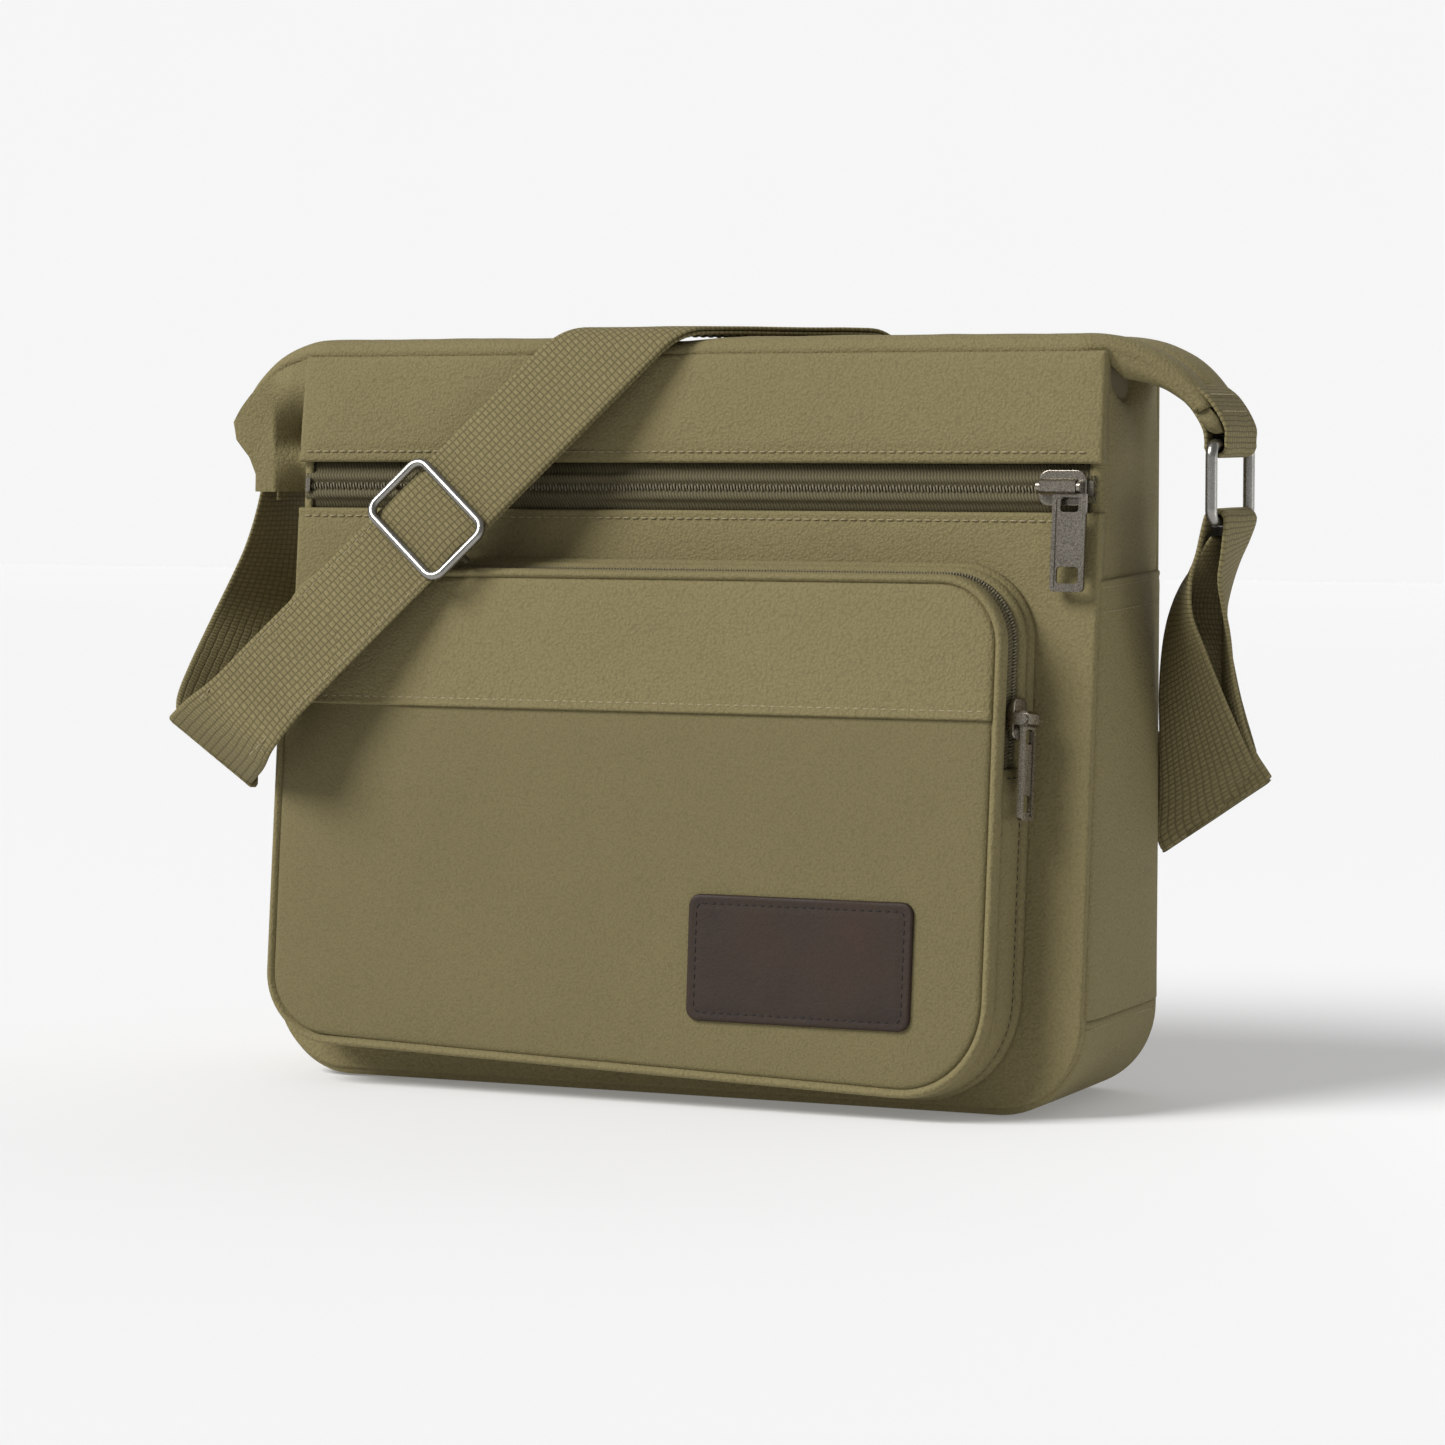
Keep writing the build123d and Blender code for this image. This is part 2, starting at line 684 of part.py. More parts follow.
# Each pair is the strap's two edges: (first edge, second edge), in order along the strap.
left_hanging = [
    ((-191.0, -5.0, 225.0), (-191.0, 34.0, 225.0)),
    ((-196.0, -8.0, 205.0), (-191.0, 31.0, 203.0)),
    ((-206.0, -20.0, 178.0), (-184.0, 12.0, 168.0)),
    ((-205.0, -46.0, 156.0), (-178.0, -24.0, 134.0)),
    ((-201.0, -62.0, 144.0), (-171.0, -50.0, 117.0)),
]
left_bend = [
    (adjuster_plane.from_local_coords((-run_down - 0.8, webbing_width / 2, 0)),
     adjuster_plane.from_local_coords((-run_down - 0.8, -webbing_width / 2, 0))),
    ((-201.5, -68.0, 141.5), (-171.0, -58.0, 114.5)),
]
right_outer = [
    ((207.5, -4.8, 209.5), (212.0, 33.5, 209.5)),
    ((210.0, -3.0, 192.0), (204.0, 36.0, 192.0)),
    ((212.0, 8.0, 168.0), (193.0, 43.0, 164.0)),
    ((214.0, 41.0, 136.0), (184.0, 49.0, 112.0)),
]
right_inner = [
    ((200.0, -4.8, 209.5), (197.0, 33.5, 208.5)),
    ((196.0, -3.0, 195.0), (185.0, 34.0, 192.0)),
    ((201.0, 10.0, 166.0), (177.0, 35.0, 154.0)),
    ((207.5, 34.0, 138.0), (176.5, 38.0, 112.0)),
]
top_run = [
    ((-54.0, -24.0, 289.8), (-3.5, -24.0, 289.8)),
    ((-49.0, -18.5, 291.0), (1.0, -18.5, 291.0)),
    ((0.0, 47.0, 290.9), (50.0, 47.0, 290.9)),
]
back_run = [
    ((3.0, 49.8, 288.3), (53.0, 49.8, 288.3)),
    ((60.0, 49.6, 214.0), (92.0, 49.6, 240.0)),
    ((136.0, 49.6, 134.0), (168.0, 51.5, 160.0)),
    ((172.0, 52.5, 97.0), (206.0, 56.0, 124.0)),
]

strap_runs = {"strap_left": (left_hanging, webbing_thickness),
              "strap_left_bend": (left_bend, webbing_thickness),
              "strap_right_outer": (right_outer, webbing_thickness),
              "strap_right_inner": (right_inner, webbing_thickness),
              "strap_top": (top_run, strap_thickness),
              "strap_back": (back_run, strap_thickness)}
for name, (stations, thickness) in strap_runs.items():
    with BuildPart() as strap_run:
        add(ribbon(stations, thickness))
    save(strap_run, name)

loop_reach = -4.0
for side, (pivot_x, pivot_z) in ring_pivots.items():
    with BuildPart() as strap_loop:
        add(loop(pivot_x, pivot_z - ring_bar_spacing, loop_reach, tab_width))
    save(strap_loop, "strap_loop_" + side)

# ---------------------------------------------------------------- strap adjuster

strap_clearance = 0.3
frame_height = strap_thickness / 2 + strap_clearance + adjuster_wire
bar_radius = 1.3
bar_height = -strap_thickness / 2 - strap_clearance - bar_radius
frame_half_width = webbing_width / 2 + strap_clearance + adjuster_wire
frame_half_length = adjuster_length / 2 - adjuster_wire

with BuildPart() as adjuster_frame:
    add(wire_frame(adjuster_plane.offset(frame_height), frame_half_length, frame_half_width,
                   adjuster_corner, adjuster_wire))
save(adjuster_frame, "adjuster_frame")

with BuildPart() as adjuster_bar:
    for sign in (-1, 1):
        with BuildSketch(adjuster_plane.offset(bar_height)):
            with Locations((0, sign * frame_half_width)):
                Circle(bar_radius)
        extrude(amount=frame_height - adjuster_wire - bar_height)
    with BuildSketch(Plane(origin=adjuster_plane.from_local_coords(
            (0, -frame_half_width, bar_height)), z_dir=adjuster_plane.y_dir)):
        Circle(bar_radius)
    extrude(amount=2 * frame_half_width)
save(adjuster_bar, "adjuster_bar")
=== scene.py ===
"""Looks of the canvas messenger bag: sewn fabric, webbing, zips, metal and a pale studio.

Metres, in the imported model's frame: +Z up, front towards -Y. Places come from the CAD nodes' boxes
and joints; lengths written here are given in millimetres and multiplied by mm.
"""

import bpy
import bmesh
import json
import math
import numpy as np
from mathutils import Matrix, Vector, noise


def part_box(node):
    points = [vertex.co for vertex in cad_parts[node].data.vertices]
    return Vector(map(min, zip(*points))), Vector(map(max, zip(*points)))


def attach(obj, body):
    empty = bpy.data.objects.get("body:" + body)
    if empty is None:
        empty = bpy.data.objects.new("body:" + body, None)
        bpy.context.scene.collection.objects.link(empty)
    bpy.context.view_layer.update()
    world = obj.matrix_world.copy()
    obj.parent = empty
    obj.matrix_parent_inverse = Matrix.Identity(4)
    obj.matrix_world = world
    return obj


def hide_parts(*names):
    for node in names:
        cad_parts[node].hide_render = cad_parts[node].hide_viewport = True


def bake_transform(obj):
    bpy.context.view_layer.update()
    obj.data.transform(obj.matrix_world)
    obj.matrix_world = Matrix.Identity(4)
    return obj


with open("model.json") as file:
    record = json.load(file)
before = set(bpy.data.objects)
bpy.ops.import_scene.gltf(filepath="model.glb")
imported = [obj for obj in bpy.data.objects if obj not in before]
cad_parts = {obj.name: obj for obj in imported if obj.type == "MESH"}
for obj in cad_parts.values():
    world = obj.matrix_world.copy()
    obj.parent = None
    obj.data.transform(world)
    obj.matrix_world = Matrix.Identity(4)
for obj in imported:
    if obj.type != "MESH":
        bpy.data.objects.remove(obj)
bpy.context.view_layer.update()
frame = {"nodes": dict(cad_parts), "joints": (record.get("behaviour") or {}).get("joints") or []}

mm = 0.001
nodes = frame["nodes"]
joints = {joint["name"]: joint for joint in frame["joints"]}

# ------------------------------------------------------------ places read from the frame

front_up = np.array(joints["pocket_zip_slide"]["axis"])          # up the leaning front wall
front_out = np.cross((1.0, 0.0, 0.0), front_up)                  # and straight out of it


def node_points(name):
    """A CAD node's corners, as an array."""
    return np.array([vertex.co for vertex in nodes[name].data.vertices])


front_y = (node_points("front_panel") @ front_out).max() / front_out[1]
body_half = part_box("bottom_panel")[1].x
body_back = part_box("back_panel")[1].y
body_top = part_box("back_panel")[1].z
window_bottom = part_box("front_panel")[1].z
window_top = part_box("front_yoke")[0].z
zip_middle = (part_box("front_zip_tape")[0].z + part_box("front_zip_tape")[1].z) / 2
side_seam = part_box("bottom_panel")[1].z
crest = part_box("top_strip_front")[1].z
top_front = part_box("top_strip_front")[0].y
top_middle = (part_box("top_strip_front")[0].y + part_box("top_strip_back")[1].y) / 2
ring_pivot = {"left": joints["ring_left_swing"]["pos_m"], "right": joints["ring_right_swing"]["pos_m"]}


def on_front(x, z, depth=0.0):
    """Points on the leaning front wall: x across, z above the floor, depth outward."""
    x, z, depth = np.broadcast_arrays(np.asarray(x, float), np.asarray(z, float),
                                      np.asarray(depth, float))
    start = np.stack([x, np.full(x.shape, front_y), np.zeros(x.shape)], -1)
    rise = (z - depth * front_out[2]) / front_up[2]
    return start + rise[..., None] * front_up + depth[..., None] * front_out


def wall_y(z):
    """How far forward the front wall's outside is at a height."""
    return front_y + z * front_up[1] / front_up[2]


# ------------------------------------------------------------ materials

def new_material(name):
    """An empty node material with its principled shader and a helper that adds nodes."""
    material = bpy.data.materials.new(name)
    material.use_nodes = True
    tree = material.node_tree
    shader = tree.nodes["Principled BSDF"]

    def add(kind, inputs=(), **settings):
        node = tree.nodes.new(kind)
        for key, value in settings.items():
            setattr(node, key, value)
        for socket, value in dict(inputs).items():
            if isinstance(value, bpy.types.NodeSocket):
                tree.links.new(value, node.inputs[socket])
            else:
                node.inputs[socket].default_value = value
        return node

    return material, shader, tree.links, add


def maths(add, operation, a, b=0.0, clamp=False):
    """One maths node's result."""
    return add("ShaderNodeMath", {0: a, 1: b}, operation=operation, use_clamp=clamp).outputs[0]


def ramp(add, value, low, high, dark, light):
    """A colour that goes from dark to light as value goes from low to high."""
    share = add("ShaderNodeMapRange", {0: value, 1: low, 2: high}).outputs[0]
    mix = add("ShaderNodeMix", {0: share, 6: (*dark, 1), 7: (*light, 1)}, data_type="RGBA")
    return mix.outputs[2]


def shade(colour, factor):
    """A colour made lighter or darker."""
    return tuple(channel * factor for channel in colour)


def canvas(name, colour, grain, relief):
    """Coated canvas with a fine pebble grain: grain is its size in metres, relief the bump's height."""
    material, shader, links, add = new_material(name)
    place = add("ShaderNodeTexCoord").outputs["Object"]
    warp = add("ShaderNodeTexNoise", {"Vector": place, "Scale": 0.5 / grain, "Detail": 2.0})
    bent = add("ShaderNodeMix", {0: 0.0006, 4: place, 5: warp.outputs["Color"]},
               data_type="VECTOR").outputs[1]
    pebbles = add("ShaderNodeTexVoronoi", {"Vector": bent, "Scale": 1 / grain, "Smoothness": 0.6},
                  feature="SMOOTH_F1").outputs["Distance"]
    fibres = add("ShaderNodeTexNoise", {"Vector": place, "Scale": 2.2 / grain, "Detail": 3.0,
                                        "Roughness": 0.6}).outputs["Fac"]
    broad = add("ShaderNodeTexNoise", {"Vector": place, "Scale": 14.0, "Detail": 4.0}).outputs["Fac"]
    height = maths(add, "ADD", maths(add, "MULTIPLY", pebbles, -1.0),
                   maths(add, "MULTIPLY", fibres, 0.7))
    worn = maths(add, "ADD", maths(add, "MULTIPLY", height, 0.9), maths(add, "MULTIPLY", broad, 0.35))
    links.new(ramp(add, worn, -0.25, 0.65, shade(colour, 0.82), shade(colour, 1.14)),
              shader.inputs["Base Color"])
    rough = add("ShaderNodeMapRange", {0: fibres, 1: 0.3, 2: 0.7, 3: 0.72, 4: 0.9}).outputs[0]
    links.new(rough, shader.inputs["Roughness"])
    bump = add("ShaderNodeBump", {"Height": height, "Distance": relief, "Strength": 1.0})
    links.new(bump.outputs[0], shader.inputs["Normal"])
    shader.inputs["Specular IOR Level"].default_value = 0.2
    return material


def webbing_material(name, colour, across, along):
    """Basket-woven webbing: its UV map is in metres, across the strap and along it."""
    material, shader, links, add = new_material(name)
    uv = add("ShaderNodeUVMap", uv_map="weave").outputs[0]
    wander = add("ShaderNodeTexNoise", {"Vector": uv, "Scale": 130.0, "Detail": 2.0}).outputs["Color"]
    bent = add("ShaderNodeMix", {0: 0.0012, 4: uv, 5: wander}, data_type="VECTOR").outputs[1]
    parts = add("ShaderNodeSeparateXYZ", {0: bent})
    u = maths(add, "DIVIDE", parts.outputs[0], across)
    v = maths(add, "DIVIDE", parts.outputs[1], along)
    parity = maths(add, "MODULO", maths(add, "ADD", maths(add, "FLOOR", u), maths(add, "FLOOR", v)), 2.0)
    parity = maths(add, "ABSOLUTE", parity)
    crown = []
    for value in (u, v):
        middle = maths(add, "SUBTRACT", maths(add, "FRACT", value), 0.5)
        reach = maths(add, "MULTIPLY", maths(add, "ABSOLUTE", middle), 2.0)
        crown.append(maths(add, "SUBTRACT", 1.0, maths(add, "POWER", reach, 5.0)))
    cells = maths(add, "MULTIPLY", crown[0], crown[1])
    weave = maths(add, "MULTIPLY", cells, maths(add, "ADD", maths(add, "MULTIPLY", parity, 0.22), 0.78))
    place = add("ShaderNodeTexCoord").outputs["Object"]
    fibres = add("ShaderNodeTexNoise", {"Vector": place, "Scale": 1500.0, "Detail": 3.0}).outputs["Fac"]
    broad = add("ShaderNodeTexNoise", {"Vector": place, "Scale": 22.0, "Detail": 3.0}).outputs["Fac"]
    height = maths(add, "ADD", weave, maths(add, "MULTIPLY", fibres, 0.35))
    tone = maths(add, "ADD", maths(add, "MULTIPLY", weave, 0.6), maths(add, "MULTIPLY", broad, 0.3))
    tone = maths(add, "ADD", tone, maths(add, "MULTIPLY", fibres, 0.5))
    links.new(ramp(add, tone, 0.3, 1.15, shade(colour, 0.5), shade(colour, 1.15)),
              shader.inputs["Base Color"])
    links.new(add("ShaderNodeMapRange", {0: fibres, 1: 0.3, 2: 0.7, 3: 0.75, 4: 0.95}).outputs[0],
              shader.inputs["Roughness"])
    bump = add("ShaderNodeBump", {"Height": height, "Distance": 0.35 * mm, "Strength": 1.0})
    links.new(bump.outputs[0], shader.inputs["Normal"])
    shader.inputs["Specular IOR Level"].default_value = 0.15
    return material


def leather_material(name, colour):
    """Grained leather with a slightly paler worn cast."""
    material, shader, links, add = new_material(name)
    place = add("ShaderNodeTexCoord").outputs["Object"]
    cells = add("ShaderNodeTexVoronoi", {"Vector": place, "Scale": 1000.0, "Smoothness": 0.4},
                feature="SMOOTH_F1").outputs["Distance"]
    creases = add("ShaderNodeTexNoise", {"Vector": place, "Scale": 380.0, "Detail": 4.0}).outputs["Fac"]
    broad = add("ShaderNodeTexNoise", {"Vector": place, "Scale": 40.0, "Detail": 4.0}).outputs["Fac"]
    height = maths(add, "SUBTRACT", maths(add, "MULTIPLY", creases, 0.8), cells)
    tone = maths(add, "ADD", maths(add, "MULTIPLY", height, 0.3), broad)
    links.new(ramp(add, tone, 0.25, 0.8, shade(colour, 0.75), shade(colour, 1.3)),
              shader.inputs["Base Color"])
    links.new(add("ShaderNodeMapRange", {0: broad, 1: 0.3, 2: 0.7, 3: 0.55, 4: 0.72}).outputs[0],
              shader.inputs["Roughness"])
    bump = add("ShaderNodeBump", {"Height": height, "Distance": 0.08 * mm, "Strength": 0.9})
    links.new(bump.outputs[0], shader.inputs["Normal"])
    shader.inputs["Specular IOR Level"].default_value = 0.35
    return material


def metal_material(name, dark, light, roughness):
    """Plated metal with fine brushing, patches of tarnish and a few paler worn places."""
    material, shader, links, add = new_material(name)
    place = add("ShaderNodeTexCoord").outputs["Object"]
    tarnish = add("ShaderNodeTexNoise", {"Vector": place, "Scale": 60.0, "Detail": 3.0}).outputs["Fac"]
    scratch = add("ShaderNodeTexNoise", {"Vector": place, "Scale": 1600.0, "Detail": 2.0}).outputs["Fac"]
    links.new(ramp(add, tarnish, 0.2, 0.8, dark, light), shader.inputs["Base Color"])
    links.new(add("ShaderNodeMapRange", {0: scratch, 1: 0.3, 2: 0.7, 3: roughness - 0.06,
                                         4: roughness + 0.1}).outputs[0], shader.inputs["Roughness"])
    bump = add("ShaderNodeBump", {"Height": scratch, "Distance": 0.02 * mm, "Strength": 0.5})
    links.new(bump.outputs[0], shader.inputs["Normal"])
    shader.inputs["Metallic"].default_value = 1.0
    return material


def ribbed_material(name, colour, pitch, relief):
    """Woven tape with fine slanting ribs across it: the UV map is in metres."""
    material, shader, links, add = new_material(name)
    uv = add("ShaderNodeUVMap", uv_map="weave").outputs[0]
    parts = add("ShaderNodeSeparateXYZ", {0: uv})
    slant = maths(add, "ADD", parts.outputs[1], maths(add, "MULTIPLY", parts.outputs[0], 0.35))
    ribs = maths(add, "SINE", maths(add, "MULTIPLY", slant, 2 * math.pi / pitch))
    ribs = maths(add, "ADD", maths(add, "MULTIPLY", ribs, 0.5), 0.5)
    fibres = add("ShaderNodeTexNoise", {"Vector": uv, "Scale": 900.0, "Detail": 3.0}).outputs["Fac"]
    tone = maths(add, "ADD", maths(add, "MULTIPLY", ribs, 0.7), maths(add, "MULTIPLY", fibres, 0.5))
    links.new(ramp(add, tone, 0.1, 1.0, shade(colour, 0.55), shade(colour, 1.35)),
              shader.inputs["Base Color"])
    links.new(add("ShaderNodeMapRange", {0: fibres, 1: 0.3, 2: 0.7, 3: 0.7, 4: 0.9}).outputs[0],
              shader.inputs["Roughness"])
    bump = add("ShaderNodeBump", {"Height": tone, "Distance": relief, "Strength": 1.0})
    links.new(bump.outputs[0], shader.inputs["Normal"])
    shader.inputs["Specular IOR Level"].default_value = 0.25
    return material


def thread_material(name, colour):
    """Twisted sewing thread."""
    material, shader, links, add = new_material(name)
    place = add("ShaderNodeTexCoord").outputs["Object"]
    twist = add("ShaderNodeTexNoise", {"Vector": place, "Scale": 2500.0, "Detail": 2.0}).outputs["Fac"]
    links.new(ramp(add, twist, 0.3, 0.7, shade(colour, 0.75), shade(colour, 1.2)),
              shader.inputs["Base Color"])
    bump = add("ShaderNodeBump", {"Height": twist, "Distance": 0.05 * mm})
    links.new(bump.outputs[0], shader.inputs["Normal"])
    shader.inputs["Roughness"].default_value = 0.75
    return material


olive = (0.222, 0.186, 0.088)
body_canvas = canvas("body_canvas", olive, 1.05 * mm, 0.34 * mm)
pocket_canvas = canvas("pocket_canvas", shade(olive, 0.80), 0.85 * mm, 0.2 * mm)
webbing = webbing_material("webbing", (0.215, 0.18, 0.087), 3.0 * mm, 2.0 * mm)
webbing_plain = canvas("webbing_plain", (0.19, 0.16, 0.078), 1.0 * mm, 0.2 * mm)
leather = leather_material("leather", (0.030, 0.0165, 0.0095))
leather_thread = thread_material("leather_thread", (0.012, 0.009, 0.007))
pale_thread = thread_material("pale_thread", (0.30, 0.25, 0.14))
tape_weave = ribbed_material("tape_weave", (0.105, 0.09, 0.048), 1.3 * mm, 0.25 * mm)
coil_plastic = ribbed_material("coil_plastic", (0.20, 0.175, 0.115), 0.5 * mm, 0.03 * mm)
steel = metal_material("steel", (0.27, 0.26, 0.24), (0.37, 0.36, 0.335), 0.30)
gunmetal = metal_material("gunmetal", (0.24, 0.215, 0.175), (0.32, 0.29, 0.245), 0.27)
lining_cloth = canvas("lining_cloth", (0.20, 0.17, 0.10), 0.6 * mm, 0.05 * mm)
foam_grain = canvas("foam_grain", (0.42, 0.40, 0.36), 2.0 * mm, 0.2 * mm)
board_fibre = canvas("board_fibre", (0.06, 0.06, 0.06), 1.0 * mm, 0.05 * mm)

# ------------------------------------------------------------ mesh helpers

def grid_faces(rows, columns, wrap_rows=False, wrap_columns=False):
    """Quads over a grid of points numbered row by row."""
    r, c = np.meshgrid(np.arange(rows - (not wrap_rows)), np.arange(columns - (not wrap_columns)),
                       indexing="ij")
    next_r, next_c = (r + 1) % rows, (c + 1) % columns
    quads = [r * columns + c, r * columns + next_c, next_r * columns + next_c, next_r * columns + c]
    return np.stack(quads, -1).reshape(-1, 4)


def build(name, points, faces, uvs=None):
    """A smooth mesh object with outward normals; uvs go in a map named weave, in metres."""
    mesh = bpy.data.meshes.new(name)
    mesh.from_pydata(points.tolist(), [], faces.tolist())
    if uvs is not None:
        layer = mesh.uv_layers.new(name="weave")
        corners = np.zeros(len(mesh.loops), int)
        mesh.loops.foreach_get("vertex_index", corners)
        layer.data.foreach_set("uv", uvs[corners].ravel())
    work = bmesh.new()
    work.from_mesh(mesh)
    bmesh.ops.recalc_face_normals(work, faces=work.faces)
    work.to_mesh(mesh)
    work.free()
    mesh.polygons.foreach_set("use_smooth", np.ones(len(mesh.polygons), bool))
    obj = bpy.data.objects.new(name, mesh)
    bpy.context.scene.collection.objects.link(obj)
    return obj


def shell(name, outer, inner, wrap_rows=False, wrap_columns=False, uv=None):
    """A closed solid between two grids of points."""
    rows, columns = outer.shape[:2]
    count = rows * columns
    quads = grid_faces(rows, columns, wrap_rows, wrap_columns)
    faces = [quads, quads[:, ::-1] + count]
    index = np.arange(count).reshape(rows, columns)
    borders = []
    if not wrap_rows:
        borders += [index[0], index[-1]]
    if not wrap_columns:
        borders += [index[:, 0], index[:, -1]]
    for border in borders:
        start, end = border[:-1], border[1:]
        faces.append(np.stack([start, end, end + count, start + count], -1))
    if wrap_rows and not wrap_columns:
        for border in (index[:, 0], index[:, -1]):
            faces.append(np.array([[border[-1], border[0], border[0] + count, border[-1] + count]]))
    if wrap_columns and not wrap_rows:
        for border in (index[0], index[-1]):
            faces.append(np.array([[border[-1], border[0], border[0] + count, border[-1] + count]]))
    points = np.concatenate([outer.reshape(-1, 3), inner.reshape(-1, 3)])
    uvs = None if uv is None else np.concatenate([uv.reshape(-1, 2)] * 2)
    return build(name, points, np.concatenate(faces), uvs)


def solid(name, points, wrap_columns=True, uv=None):
    """A closed solid from rings of points: each row is a ring, and both ends are capped."""
    rows, columns = points.shape[:2]
    faces = grid_faces(rows, columns, False, wrap_columns)
    obj = build(name, points.reshape(-1, 3), faces, None if uv is None else uv.reshape(-1, 2))
    work = bmesh.new()
    work.from_mesh(obj.data)
    bmesh.ops.holes_fill(work, edges=[edge for edge in work.edges if edge.is_boundary])
    bmesh.ops.recalc_face_normals(work, faces=work.faces)
    work.to_mesh(obj.data)
    work.free()
    return obj


def surface_normals(points):
    """Unit normals of a grid of points."""
    normal = np.cross(np.gradient(points, axis=0), np.gradient(points, axis=1))
    return normal / np.maximum(np.linalg.norm(normal, axis=-1, keepdims=True), 1e-12)


def wobble(points, size, seed=0.0):
    """Smooth noise from -1 to 1 at each point, with features of about the given size."""
    size = np.broadcast_to(size, (3,))
    places = (points.reshape(-1, 3) / size + seed).tolist()
    return np.array([noise.noise(place) for place in places]).reshape(points.shape[:-1])


def spacing(length, step):
    """Places from 0 to length: close together near both ends, a step apart between them."""
    ramp_up = [0.0]
    gap = 0.35 * mm
    while gap < step and ramp_up[-1] + gap < length * 0.3:
        ramp_up.append(ramp_up[-1] + gap)
        gap *= 1.45
    ramp_up = np.array(ramp_up)
    count = max(2, math.ceil((length - 2 * ramp_up[-1]) / step) + 1)
    middle = np.linspace(ramp_up[-1], length - ramp_up[-1], count)
    return np.concatenate([ramp_up[:-1], middle, length - ramp_up[:-1][::-1]])


def rounded(left, right, bottom, top, radii, step=3 * mm):
    """A rounded rectangle's outline, anticlockwise from the bottom right corner."""
    corners = [(right, bottom, -90), (right, top, 0), (left, top, 90), (left, bottom, 180)]
    points = []
    for (x, z, start), radius in zip(corners, radii):
        centre = (x - radius if x == right else x + radius, z + radius if z == bottom else z - radius)
        for angle in np.radians(np.linspace(start, start + 90, 15)):
            points.append((centre[0] + radius * math.cos(angle), centre[1] + radius * math.sin(angle)))
    side_counts = [40, 90, 40, 90]
    outline = []
    for corner, count in enumerate(side_counts):
        outline += points[corner * 15:corner * 15 + 15]
        start, end = points[corner * 15 + 14], points[(corner * 15 + 15) % 60]
        for share in np.linspace(0, 1, count)[1:-1]:
            outline.append((start[0] + (end[0] - start[0]) * share, start[1] + (end[1] - start[1]) * share))
    return np.array(outline)


def crossing(outline, z):
    """Where a level line enters and leaves an outline."""
    start, end = outline, np.roll(outline, -1, axis=0)
    low, high = np.minimum(start[:, 1], end[:, 1]), np.maximum(start[:, 1], end[:, 1])
    met = (low <= z + 1e-9) & (high >= z - 1e-9)
    start, end = start[met], end[met]
    rise = end[:, 1] - start[:, 1]
    level = np.abs(rise) < 1e-9
    share = np.where(level, 0, (z - start[:, 1]) / np.where(level, 1, rise))
    x = start[:, 0] + np.clip(share, 0, 1) * (end[:, 0] - start[:, 0])
    x = np.concatenate([x, end[level, 0]])
    return x.min(), x.max()


def panel_places(outline, step=2.2 * mm):
    """A grid of (x, z) places that fills an outline, closer together near its edge."""
    bottom, top = outline[:, 1].min(), outline[:, 1].max()
    widest = outline[:, 0].max() - outline[:, 0].min()
    across = spacing(widest, step) / widest
    rows = []
    for z in bottom + spacing(top - bottom, step):
        left, right = crossing(outline, z)
        rows.append(np.stack([left + (right - left) * across, np.full(across.shape, z)], -1))
    return np.array(rows)


def edge_distance(places, outline):
    """Distance of each place from an outline."""
    nearest = np.full(places.shape[:-1], 1e9)
    for start, end in zip(outline, np.roll(outline, -1, axis=0)):
        run = end - start
        share = np.clip(((places - start) @ run) / max(run @ run, 1e-18), 0, 1)
        nearest = np.minimum(nearest, np.linalg.norm(places - start - share[..., None] * run, axis=-1))
    return nearest


def rolled(distance, radius):
    """Height of a surface whose edge rolls away in a quarter circle: 0 inside, -radius at the edge."""
    inside = np.clip(radius - distance, 0, radius)
    return np.sqrt(radius ** 2 - inside ** 2) - radius


def crowned(distance, height, reach):
    """A soft swelling that fades towards the edge."""
    return height * (1 - np.exp(-distance / reach))


def groove(distance, depth, width):
    """The dent that a line of stitches pulls into padded cloth."""
    return -depth * np.exp(-(distance / width) ** 2)


def place(obj, material, body="bag", replaced=(), slot=None):
    """Gives a piece its material and body, and hides the CAD nodes it stands for."""
    obj.data.materials.append(material)
    if body is not None:
        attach(obj, body)
    if replaced:
        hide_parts(*replaced)
    return obj


def along_path(path):
    """Distance along a path at each of its points."""
    steps = np.linalg.norm(np.diff(path, axis=0), axis=1)
    return np.concatenate([[0.0], np.cumsum(steps)])


def at(path, lengths, wanted):
    """Values along a path at the wanted distances."""
    return np.stack([np.interp(wanted, lengths, path[:, axis]) for axis in range(path.shape[1])], -1)


